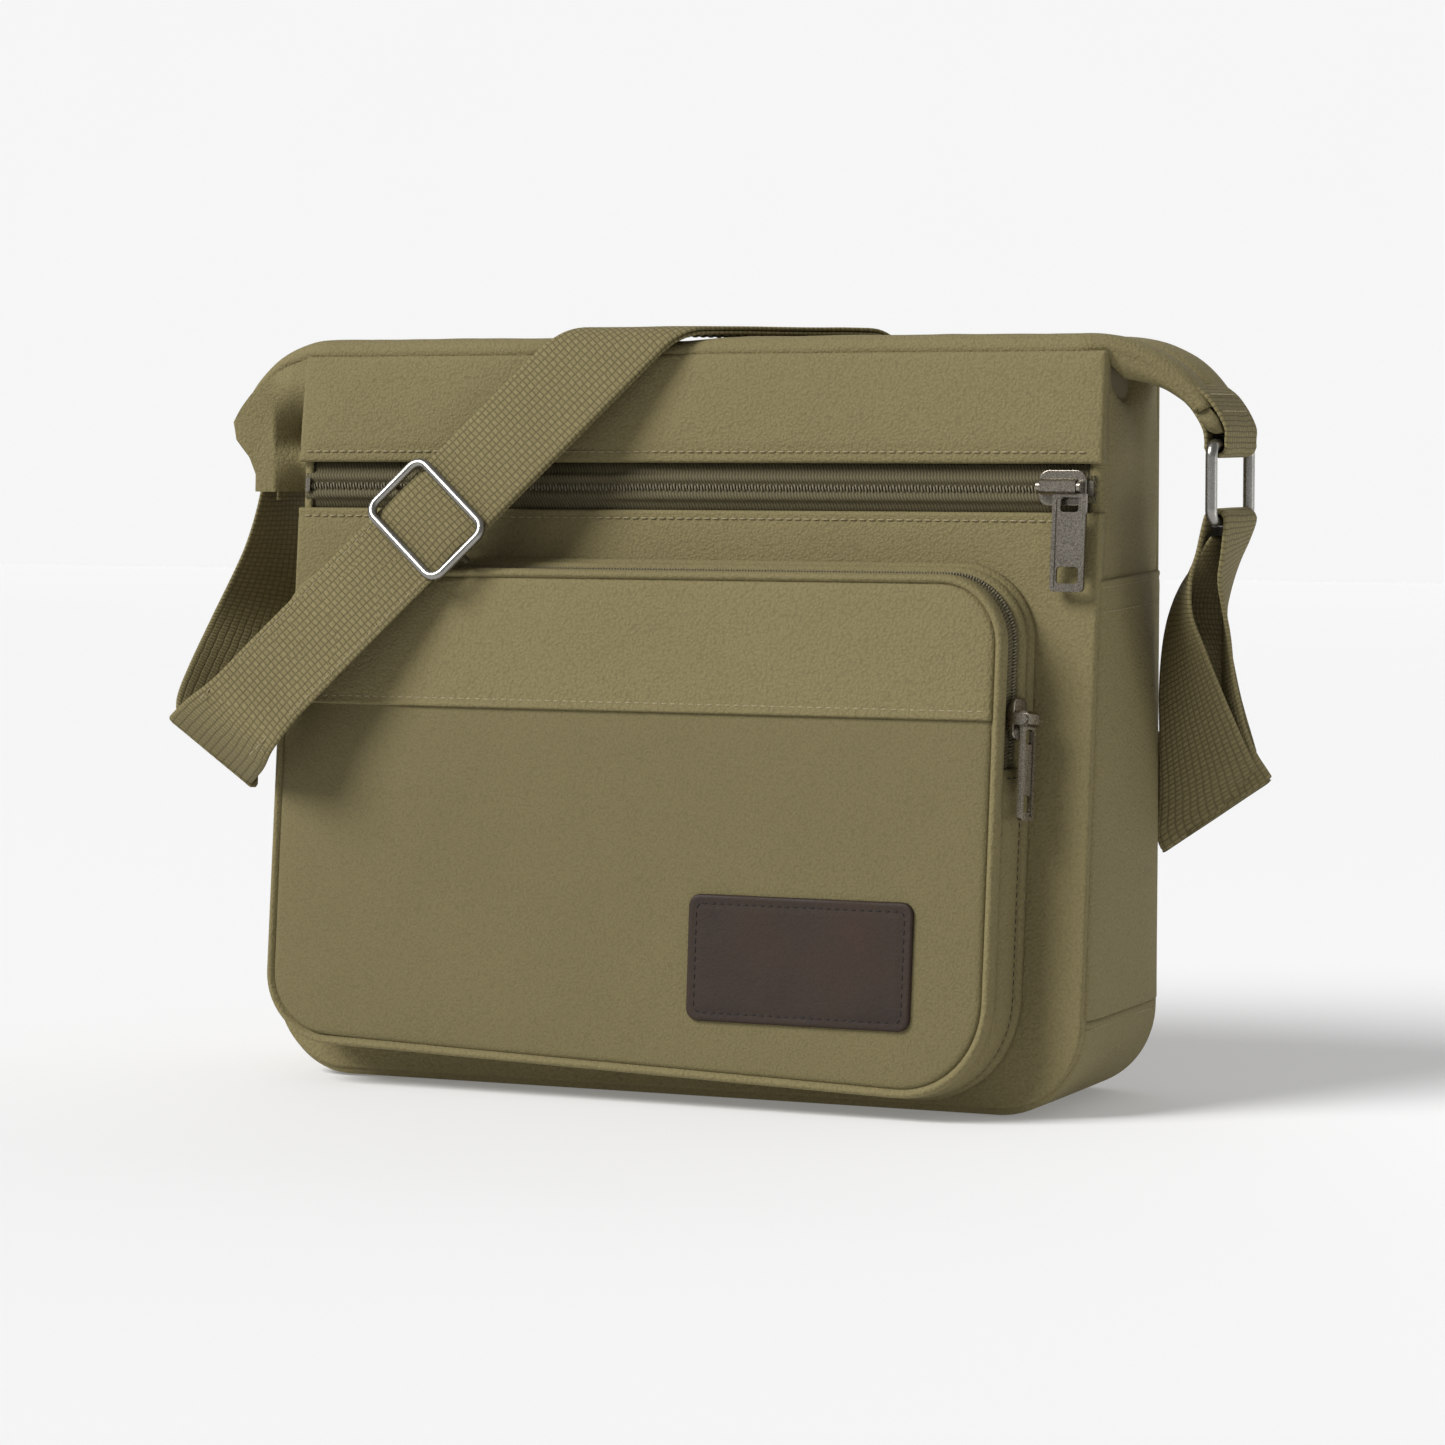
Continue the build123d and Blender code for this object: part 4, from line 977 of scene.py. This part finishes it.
front_strip = [(1.6, -8.2), (0.5, -7.6), (0.0, -6.6), (-0.4, -5.2), (-0.2, -3.8), (0.6, -2.4), (1.9, -1.2),
               (3.8, -0.4), (6.5, 0.1), (10, 0.3), (15, 0.2), (20, -0.2), (24, -0.8), (26.5, -1.5),
               (27.8, -2.6),
               (28.4, -4.2), (28.6, -6.0)]
back_strip = [(1.6, -5.6), (0.5, -5.0), (0.0, -4.4), (-0.3, -3.5), (0.1, -2.5), (1.2, -1.5), (3.2, -0.8),
              (6.5, -0.4), (10, -0.2), (15, -0.2), (20, -0.5), (24, -1.0), (26.5, -1.6), (27.8, -2.7),
              (28.4, -4.3), (28.6, -6.0)]
top_strip("top_strip_cloth_front", top_front, front_strip, ("top_strip_front",))
top_strip("top_strip_cloth_back", body_back, back_strip, ("top_strip_back",))


def ear_underside(side, sign, sizes):
    """The gusset cloth gathered under an ear: a soft fold hanging below the strips."""
    part = strip_route(ear_start + 5 * mm, strip_length - 1.0 * mm, 1.6 * mm)
    share = np.clip((part[:, 0] - ear_start + 4 * mm) / (ear_reach - ear_start + 4 * mm), 0, 1)
    drop = np.interp(share, *zip(*sizes)) * mm
    front, back = strip_edge(part[:, 0], top_front), strip_edge(part[:, 0], body_back)
    profile = [(0.02, -6.2, 0.0), (0.0, -6.8, -0.2), (0.005, -6.8, -0.5), (0.03, -6.6, -0.8),
               (0.09, -6.2, -1.0),
               (0.2, -5.5, -0.95), (0.35, -5.0, -0.7), (0.5, -5.0, -0.6), (0.65, -5.0, -0.6),
               (0.8, -5.2, -0.7),
               (0.92, -5.6, -0.7), (0.98, -5.4, -0.4), (1.0, -4.8, -0.1), (0.985, -4.0, 0.0)]
    shape = np.array(profile)
    shrink = 1 - 0.35 * share
    y = front[:, None] + (back - front)[:, None] * shape[None, :, 0]
    height = shape[None, :, 1] * mm * shrink[:, None] + shape[None, :, 2] * drop[:, None]
    flat = np.stack([np.broadcast_to(part[:, 0][:, None], y.shape), y,
                     np.broadcast_to(part[:, 1][:, None], y.shape)], -1)
    height = height + 0.6 * mm * wobble(flat, 12 * mm, 21.0 * sign)
    outer = flat + height[..., None] * np.stack([part[:, 2], np.zeros(len(part)), part[:, 3]], -1)[:, None]
    inner = outer + 1.4 * mm * np.stack([part[:, 2], np.zeros(len(part)), part[:, 3]], -1)[:, None]
    for points in (outer, inner):
        points[..., 0] *= sign
    return place(shell("ear_fold_" + side, outer, inner), body_canvas, slot="body_fabric")


ear_underside("right", 1, [(0, 0.5), (0.2, 3.5), (0.45, 9.0), (0.7, 7.0), (1.0, 2.5)])
ear_underside("left", -1, [(0, 1.0), (0.2, 7.0), (0.45, 12.0), (0.7, 10.0), (1.0, 5.0)])

# ------------------------------------------------------------ webbing

def smooth_line(points, step=1.6 * mm):
    """A smooth line through points (Catmull-Rom), evenly sampled."""
    points = np.array(points, float)
    padded = np.concatenate([[2 * points[0] - points[1]], points, [2 * points[-1] - points[-2]]])
    fine = []
    for a, b, c, d in zip(padded, padded[1:], padded[2:], padded[3:]):
        for t in np.linspace(0, 1, 24, endpoint=False):
            fine.append(0.5 * (2 * b + (c - a) * t + (2 * a - 5 * b + 4 * c - d) * t ** 2
                               + (3 * b - a - 3 * c + d) * t ** 3))
    fine = np.array(fine + [points[-1]])
    middle = (fine[:, :3] + fine[:, 3:]) / 2
    lengths = along_path(middle)
    return at(fine, lengths, np.linspace(0, lengths[-1], int(lengths[-1] / step) + 2))


def webbing_layer(name, centre, lengths, shares, thickness, offset=0.0, replaced=(), body="bag"):
    """A layer of webbing over a grid of points, with round selvedges; offset moves it along its normal."""
    swell = np.clip(np.minimum(shares, 1 - shares) / 0.04, 0, 1)
    swell = 0.35 + 0.65 * np.sqrt(1 - (1 - swell) ** 2)
    normal = surface_normals(centre)
    ripple = 0.2 * mm * wobble(centre, 18 * mm, 31.0)[..., None]
    surface = centre + normal * (offset * mm + ripple)
    half = normal * (thickness * mm / 2 * swell)[None, :, None]
    width = np.linalg.norm(centre[0, -1] - centre[0, 0])
    uv = np.stack(np.broadcast_arrays((shares * width)[None, :], lengths[:, None]), -1)
    obj = place(shell(name, surface + half, surface - half, uv=uv), webbing, body=body,
                replaced=replaced, slot="webbing")
    return obj, surface, normal


def ribbon(name, stations, thickness, replaced=(), body="bag"):
    """Webbing through pairs of edge points in millimetres; returns it and its length."""
    edges = smooth_line(np.array([list(a) + list(b) for a, b in stations]) * mm)
    shares = np.array([0, 0.012, 0.035, 0.08, 0.2, 0.35, 0.5, 0.65, 0.8, 0.92, 0.965, 0.988, 1])
    grid = edges[:, None, :3] * (1 - shares)[None, :, None] + edges[:, None, 3:] * shares[None, :, None]
    lengths = along_path((edges[:, :3] + edges[:, 3:]) / 2)
    obj, _, _ = webbing_layer(name, grid, lengths, shares, thickness, 0.0, replaced, body)
    return obj, lengths[-1]


# The strap lies flat on a profile that climbs the front, crosses the top and drops down the back.
along = np.array(joints["adjuster_slide"]["axis"])
climb = math.hypot(along[1], along[2])                   # climbed for each unit along the strap
front_slope = math.atan2(along[2], along[1])
outward = np.array([0.0, -math.sin(front_slope), math.cos(front_slope)])
across = np.cross(outward, along)
strap_points = node_points("strap_front")
frame_low, frame_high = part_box("adjuster_frame")
adjuster_middle = np.array((frame_low + frame_high) / 2)
for way in (outward, across):
    reach = strap_points @ way
    adjuster_middle += way * ((reach.max() + reach.min()) / 2 - adjuster_middle @ way)

strap_top_level = crest + 2.4 * mm
front_bend, back_bend = 14 * mm, 9 * mm
back_level = body_back + 4.3 * mm


def strap_profile(step=0.5 * mm, before=140 * mm, after=420 * mm):
    """The strap's middle plane seen from the side: distance, y, z and heading, from below the adjuster."""
    turn_height = front_bend * (1 - math.cos(front_slope))
    start_turn = (strap_top_level - turn_height - adjuster_middle[2]) / math.sin(front_slope)
    rows = []
    y = adjuster_middle[1] - before * math.cos(front_slope)
    z = adjuster_middle[2] - before * math.sin(front_slope)
    heading = front_slope
    for distance in np.arange(-before, after, step):
        rows.append((distance, y, z, heading))
        if distance >= start_turn and heading > 0 and y < back_level - back_bend:
            heading = max(0.0, heading - step / front_bend)
        elif y >= back_level - back_bend:
            heading = max(-math.pi / 2 + 0.012, heading - step / back_bend)
        y += step * math.cos(heading)
        z += step * math.sin(heading)
    return np.array(rows)


profile_rows = strap_profile()


def strap_point(distance, sideways, height=0.0):
    """A point of the strap in millimetres: along it from the adjuster, towards its upper edge, and out."""
    reach = (distance * climb + sideways * along[0]) * mm
    y, z, heading = (np.interp(reach, profile_rows[:, 0], profile_rows[:, column]) for column in (1, 2, 3))
    x = adjuster_middle[0] + (distance * along[0] - sideways * climb) * mm
    return np.array([x, y - math.sin(heading) * height * mm, z + math.cos(heading) * height * mm]) / mm


def strap_pair(distance, height=0.0):
    """The strap's two edges at a distance along it."""
    return strap_point(distance, 20, height), strap_point(distance, -20, height)


strap_shares = np.concatenate([[0, 0.012, 0.035], np.linspace(0.07, 0.93, 17), [0.965, 0.988, 1]])
strap_ends = (-14.0, 352.0)
strap_steps = np.arange(strap_ends[0], strap_ends[1], 1.8)


def strap_grid(first):
    """Points of the strap's middle plane from a distance on to its far end."""
    steps = strap_steps[strap_steps >= first]
    return np.array([[strap_point(distance, 20 - 40 * share) for share in strap_shares]
                     for distance in steps]) * mm


outer_plane = strap_grid(strap_ends[0])
outer_lengths = (strap_steps + 96.5) * mm
_, outer_surface, outer_normal = webbing_layer("strap_outer_layer", outer_plane, outer_lengths,
                                               strap_shares, 1.6,
                                               0.85, ("strap_front", "strap_top", "strap_back"))
inner_steps = np.arange(-84.0, strap_ends[1], 1.8)
inner_plane = np.array([[strap_point(distance, 20 - 40 * share) for share in strap_shares]
                        for distance in inner_steps]) * mm
webbing_layer("strap_inner_layer", inner_plane, inner_steps * mm, strap_shares, 1.6, -0.85)
edge_lines = [(outer_surface[4:-4, column] + outer_normal[4:-4, column] * 0.85 * mm,
               outer_normal[4:-4, column])
              for column in (3, -4)]
lower_steps = np.arange(-112.0, -15.0, 2.0)
edge_lines += [(np.array([strap_point(distance, sideways, 1.7) for distance in lower_steps]) * mm,
                np.tile(outward, (len(lower_steps), 1))) for sideways in (17.2, -17.2)]
place(dashes("strap_edge_stitches", edge_lines, 3.4 * mm, 2.5 * mm, 0.34 * mm), pale_thread, slot="webbing")


def fold(edge, forward, out):
    """Stations of webbing that turns back under itself at a fold line."""
    steps = [(1.3, -0.6), (1.8, -1.9), (1.3, -3.2), (-0.3, -3.8)]
    return [tuple(point + forward * go + out * rise for point in edge) for go, rise in steps]


def loop_round(side, angles):
    """Stations of webbing round a ring's lower bar."""
    x, z = ring_pivot[side][0] / mm, ring_pivot[side][2] / mm - 28.0
    turns = [math.radians(angle) for angle in angles]
    return [(np.array([x + 3.9 * math.cos(turn), -4.8, z + 3.9 * math.sin(turn)]),
             np.array([x + 3.9 * math.cos(turn), 33.6, z + 3.9 * math.sin(turn)])) for turn in turns]


def pairs(*rows):
    """Stations from rows of six numbers: the first edge's x, y, z and the second's."""
    return [(np.array(row[:3], float), np.array(row[3:], float)) for row in rows]


# At the left the outer layer folds back below the pocket's corner and rises behind to the left ring.
left_fold = pairs((-200.3, -67.3, 141.5, -169.9, -57.1, 115.1))[0]
left_run = [strap_pair(distance, 0.85) for distance in (-14, -30, -50, -70, -86)]
left_run += pairs((-175.2, -78.0, 156.4, -143.4, -87.2, 131.0),
                  (-188.6, -75.0, 148.2, -155.0, -75.0, 121.8))
left_run += [left_fold]
left_run += fold(left_fold, np.array([-0.78, 0.1, -0.62]), np.array([0.0, -0.93, 0.37]))
left_run += pairs((-202.5, -59.0, 148.0, -173.5, -45.0, 123.5),
                  (-205.0, -46.5, 158.5, -177.5, -24.0, 137.0),
                  (-208.0, -22.0, 178.0, -184.0, 11.0, 168.0), (-200.5, -8.5, 205.0, -192.0, 31.0, 203.0),
                  (-195.2, -4.8, 226.0, -195.2, 33.4, 226.0))
left_run += loop_round("left", (180, 135, 90, 45, 0))
left_run += pairs((-187.4, -4.6, 224.5, -187.4, 33.4, 224.5))
left_strap, _ = ribbon("strap_left_run", left_run, 1.7,
                       ("strap_left", "strap_left_bend", "strap_loop_left"),
                       body=None)
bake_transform(left_strap)

# At the right it folds forward behind the bag, rises to the right ring, goes over its bar and down again.
right_fold = pairs((206.8, 50.0, 121.0, 164.1, 56.5, 92.8))[0]
back_end = strap_pair(strap_ends[1], 0.85)
right_run = [back_end]
right_run += [tuple(a * 0.5 + b * 0.5 + [0, 0.6, 0] for a, b in zip(back_end, right_fold))]
right_run += [tuple(point + [0.0, 3.8, 0.0] for point in right_fold)]
right_run += [tuple(point + [0.9, 3.2, -1.1] for point in right_fold),
              tuple(point + [1.3, 1.9, -1.5] for point in right_fold),
              tuple(point + [0.9, 0.6, -1.1] for point in right_fold)]
right_run += pairs((206.4, 47.5, 124.0, 164.3, 53.0, 98.5), (204.6, 40.0, 131.9, 167.2, 48.5, 111.5),
                   (200.2, 22.0, 154.5, 169.4, 41.0, 136.5), (197.4, 8.0, 171.6, 171.0, 37.0, 160.0),
                   (194.9, 0.0, 184.5, 175.0, 35.0, 182.0), (195.4, -3.0, 197.6, 183.0, 34.0, 198.0),
                   (198.4, -4.2, 208.0, 196.0, 33.5, 209.0))
right_run += loop_round("right", (180, 135, 90, 45, 0))
right_run += pairs((208.0, -4.6, 208.0, 206.5, 33.6, 212.0), (206.3, -3.0, 197.0, 202.3, 34.0, 203.0),
                   (206.4, 2.0, 187.0, 197.6, 36.5, 191.0), (206.6, 9.0, 176.0, 193.0, 41.0, 175.0),
                   (204.6, 24.0, 157.0, 186.0, 48.0, 148.0), (206.3, 40.0, 134.5, 180.0, 53.0, 118.0),
                   (211.0, 50.0, 121.5, 176.0, 55.5, 97.0))
right_strap, _ = ribbon("strap_right_run", right_run, 1.7,
                        ("strap_right_outer", "strap_right_inner", "strap_loop_right"),
                        body=None)
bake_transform(right_strap)

# The strap's doubled edge between its two layers, in the hollow under the right ring.
hollow_run = pairs((203.2, -3.4, 213.0, 205.6, 30.0, 213.0), (195.0, 1.0, 203.0, 203.0, 27.0, 203.0),
                   (185.0, 21.0, 193.0, 200.6, 24.0, 193.0), (184.5, 21.5, 182.0, 199.4, 26.0, 182.0),
                   (190.0, 20.0, 171.0, 201.0, 30.0, 170.0), (193.0, 31.0, 154.5, 202.5, 38.0, 152.0),
                   (200.0, 46.0, 132.5, 205.0, 50.0, 131.0))
hollow_strap, _ = ribbon("strap_right_doubled_edge", hollow_run, 1.3, body=None)
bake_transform(hollow_strap)


def ring_tab(side, sign, ends):
    """The webbing tab that holds a ring: out of the ear's end, round the ring's bar and back."""
    x, z = ring_pivot[side][0] / mm, ring_pivot[side][2] / mm
    stations = [(px, pz, half) for px, pz, half in ends[0]]
    for angle in (20, -20, -55, -90, -125, -160, -200):
        turn = math.radians(angle)
        stations.append((x + sign * 4.1 * math.cos(turn), z + 4.1 * math.sin(turn), 18.4))
    stations += ends[1]
    middle = top_middle / mm
    rows = [(px, middle - half, pz, px, middle + half, pz) for px, pz, half in stations]
    return ribbon("ring_tab_webbing_" + side, pairs(*rows), 1.7, ("ring_tab_" + side,))


ring_tab("right", 1, ([(196.5, 268.5, 19.5), (201.5, 264.6, 19.4), (206.0, 258.8, 19.0),
                       (208.9, 253.0, 18.6)],
                      [(200.2, 253.5, 18.6), (196.0, 260.5, 19.0), (190.0, 266.0, 19.0)]))
ring_tab("left", -1, ([(-186.0, 272.5, 19.0), (-190.5, 270.0, 18.8), (-194.0, 266.5, 18.5)],
                      [(-187.6, 266.0, 18.5), (-184.0, 269.5, 18.5)]))

# The short length of webbing that rises over the adjuster's bar and moves with it.
hump_shares = np.concatenate([[0.012, 0.03], np.linspace(0.07, 0.93, 12), [0.97, 0.988]])
hump_steps = np.linspace(-13.4, 13.4, 26)
hump = np.array([[strap_point(distance, 20 - 40 * share) for share in hump_shares]
                 for distance in hump_steps]) * mm
hump_rise = (2.0 + 1.4 * np.cos(hump_steps / 13.4 * math.pi / 2) ** 0.8)[:, None] * np.sqrt(
    np.clip(1 - (2 * hump_shares - 1) ** 8, 0.2, 1))[None, :]
hump_uv = np.stack(np.broadcast_arrays((hump_shares * 0.04)[None, :],
                                       (hump_steps * mm)[:, None] + 0.0965), -1)
place(shell("adjuster_webbing", hump + hump_rise[..., None] * mm * outward, hump + 1.0 * mm * outward,
            uv=hump_uv),
      webbing, body="adjuster", slot="webbing")


def tab_core():
    """The layers sewn together inside the right tab, above the ring's bar."""
    section = np.array([(196.5, 262.0), (201.0, 262.4), (205.6, 256.6), (207.6, 251.6), (205.0, 251.0),
                        (202.6, 251.8), (199.6, 255.0)]) * mm
    depths = np.linspace(top_middle - 18.7 * mm, top_middle + 18.7 * mm, 14)
    rings = np.array([[(x, y, z) for x, z in section] for y in depths])
    return place(solid("ring_tab_core", rings), webbing_plain, slot="webbing")


tab_core()
tab_lines = []
for x, z in ((202.3, 265.6), (206.9, 259.4)):
    points = np.array([(x, y, z) for y in np.linspace(-2.0, 31.0, 30)]) * mm
    tab_lines.append((points, np.tile([0.75, 0.0, 0.66], (30, 1))))
place(dashes("ring_tab_stitches", tab_lines, 3.4 * mm, 2.5 * mm, 0.34 * mm), pale_thread, slot="webbing")


def left_drape():
    """The side cloth that hangs in front of the left ring, gathered under the ear with a dark hollow."""
    part = strip_route(ear_start + 4 * mm, strip_length - 1.0 * mm, 1.4 * mm)
    share = np.linspace(0, 1, len(part))
    down = spacing(1.0, 0.04)
    low_x = 168.5 * mm + (193.0 - 168.5) * mm * share
    top_x, top_z = part[:, 0], part[:, 1] - 6.5 * mm
    fall = down[:, None]
    neck = np.interp(down, (0, 0.25, 0.5, 0.75, 1), (0, 0.12, 0.72, 1.0, 1.0))[:, None]
    x = top_x[None, :] + (low_x - top_x)[None, :] * neck
    z = top_z[None, :] + (228 * mm - top_z)[None, :] * fall
    inside = np.clip((184 * mm - x) / (9 * mm), 0, 1)
    lip = np.exp(-((z - 271 * mm) / (8 * mm)) ** 2)
    hollow = np.exp(-((z - 252 * mm) / (7.5 * mm)) ** 2) * inside * np.clip(share / 0.2, 0, 1)[None, :]
    tuck = 12 * mm * np.clip((244 * mm - z) / (14 * mm), 0, 1) ** 1.5 * inside
    y = -12.8 * mm - 4 * mm * lip * (0.4 + 0.6 * inside) + 17 * mm * hollow + tuck
    outer = np.stack([-x, y, z], -1)
    outer[..., 1] += 0.6 * mm * wobble(outer, 11 * mm, 3.0)
    inner = outer + np.array([0.0, 1.3 * mm, 0.0])
    place(shell("left_ear_drape", outer, inner), body_canvas, slot="body_fabric")


left_drape()

# ------------------------------------------------------------ hardware kept from the frame

def dress(name, material, bevel=0.0):
    """Gives a CAD node its material, smooth shading and softened edges."""
    obj = nodes[name]
    obj.data.materials.clear()
    obj.data.materials.append(material)
    obj.data.polygons.foreach_set("use_smooth", np.ones(len(obj.data.polygons), bool))
    if bevel:
        modifier = obj.modifiers.new("soft_edges", "BEVEL")
        modifier.width = bevel
        modifier.segments = 2
        modifier.limit_method = "ANGLE"
        modifier.angle_limit = math.radians(35)
        modifier.harden_normals = True
    return obj


for name in ("ring_left", "ring_right", "adjuster_frame", "adjuster_bar"):
    dress(name, steel)
for name in ("front_slider", "front_pull", "pocket_slider", "pocket_pull", "top_slider", "top_pull",
             "front_zip_stops", "top_zip_stops"):
    dress(name, gunmetal, 0.22 * mm)

# ------------------------------------------------------------ inside the bag

dress("lining", lining_cloth)
dress("inner_sleeve", lining_cloth)
dress("zip_pocket_sheet", lining_cloth)
dress("back_foam", foam_grain)
dress("base_board", board_fibre)

# ------------------------------------------------------------ studio

def studio_sheet(name, points, rows, albedo, glow, far_glow):
    """A pale sheet of the studio: partly lit and partly glowing, so that its shadows stay soft."""
    material, shader, links, add = new_material(name)
    place_node = add("ShaderNodeTexCoord").outputs["Object"]
    mottle = add("ShaderNodeTexNoise", {"Vector": place_node, "Scale": 3.0}).outputs["Fac"]
    links.new(ramp(add, mottle, 0.0, 1.0, (albedo - 0.004,) * 3, (albedo + 0.004,) * 3),
              shader.inputs["Base Color"])
    shader.inputs["Roughness"].default_value = 1.0
    shader.inputs["Specular IOR Level"].default_value = 0.0
    shader.inputs["Emission Color"].default_value = (1.0, 1.0, 1.0, 1.0)
    depth = add("ShaderNodeSeparateXYZ", {"Vector": place_node}).outputs["Y"]
    strength = add("ShaderNodeMapRange", {0: depth, 1: 0.0, 2: 6.0, 3: glow, 4: far_glow}).outputs[0]
    links.new(strength, shader.inputs["Emission Strength"])
    sheet = build(name, points, grid_faces(rows, len(points) // rows))
    sheet.data.materials.append(material)


spread = np.linspace(-8.0, 8.0, 17)
studio_sheet("studio_floor", np.array([(x, y, -0.3 * mm) for y in spread for x in spread]),
             17, 0.70, 0.185, 0.05)
studio_sheet("studio_wall", np.array([(x, 6.0, z) for z in spread for x in spread]), 17, 0.05, 0.865, 0.865)


def light(name, kind, location, aim, energy, size):
    """A soft lamp aimed at a point: size is a softbox's side in metres, or a sun's spread in radians."""
    lamp = bpy.data.lights.new(name, kind)
    lamp.energy = energy
    if kind == "SUN":
        lamp.angle = size
    else:
        lamp.size = size
    obj = bpy.data.objects.new(name, lamp)
    obj.location = location
    obj.rotation_euler = (Vector(aim) - Vector(location)).to_track_quat("-Z", "Y").to_euler()
    bpy.context.scene.collection.objects.link(obj)


light("key", "SUN", (-1.5, -1.7, 1.9), (0.0, 0.0, 0.0), 3.3, math.radians(28))
light("side_fill", "AREA", (0.75, 0.15, 0.10), (0.17, 0.0, 0.05), 0.6, 0.35)

world = bpy.data.worlds.new("studio")
world.use_nodes = True
world.node_tree.nodes["Background"].inputs["Color"].default_value = (1.0, 1.0, 1.0, 1.0)
world.node_tree.nodes["Background"].inputs["Strength"].default_value = 0.28
bpy.context.scene.world = world

azimuth, pitch = math.radians(23.7), math.radians(3.62)
camera_data = bpy.data.cameras.new("camera")
camera_data.sensor_width = 36.0
camera_data.lens = 112.4
camera = bpy.data.objects.new("camera", camera_data)
camera.location = (0.7057, -1.5945, 0.2498)
look = Vector((-math.sin(azimuth) * math.cos(pitch), math.cos(azimuth) * math.cos(pitch), -math.sin(pitch)))
camera.rotation_euler = look.to_track_quat("-Z", "Y").to_euler()
bpy.context.scene.collection.objects.link(camera)
bpy.context.scene.camera = camera
bpy.context.scene.view_settings.view_transform = "Standard"
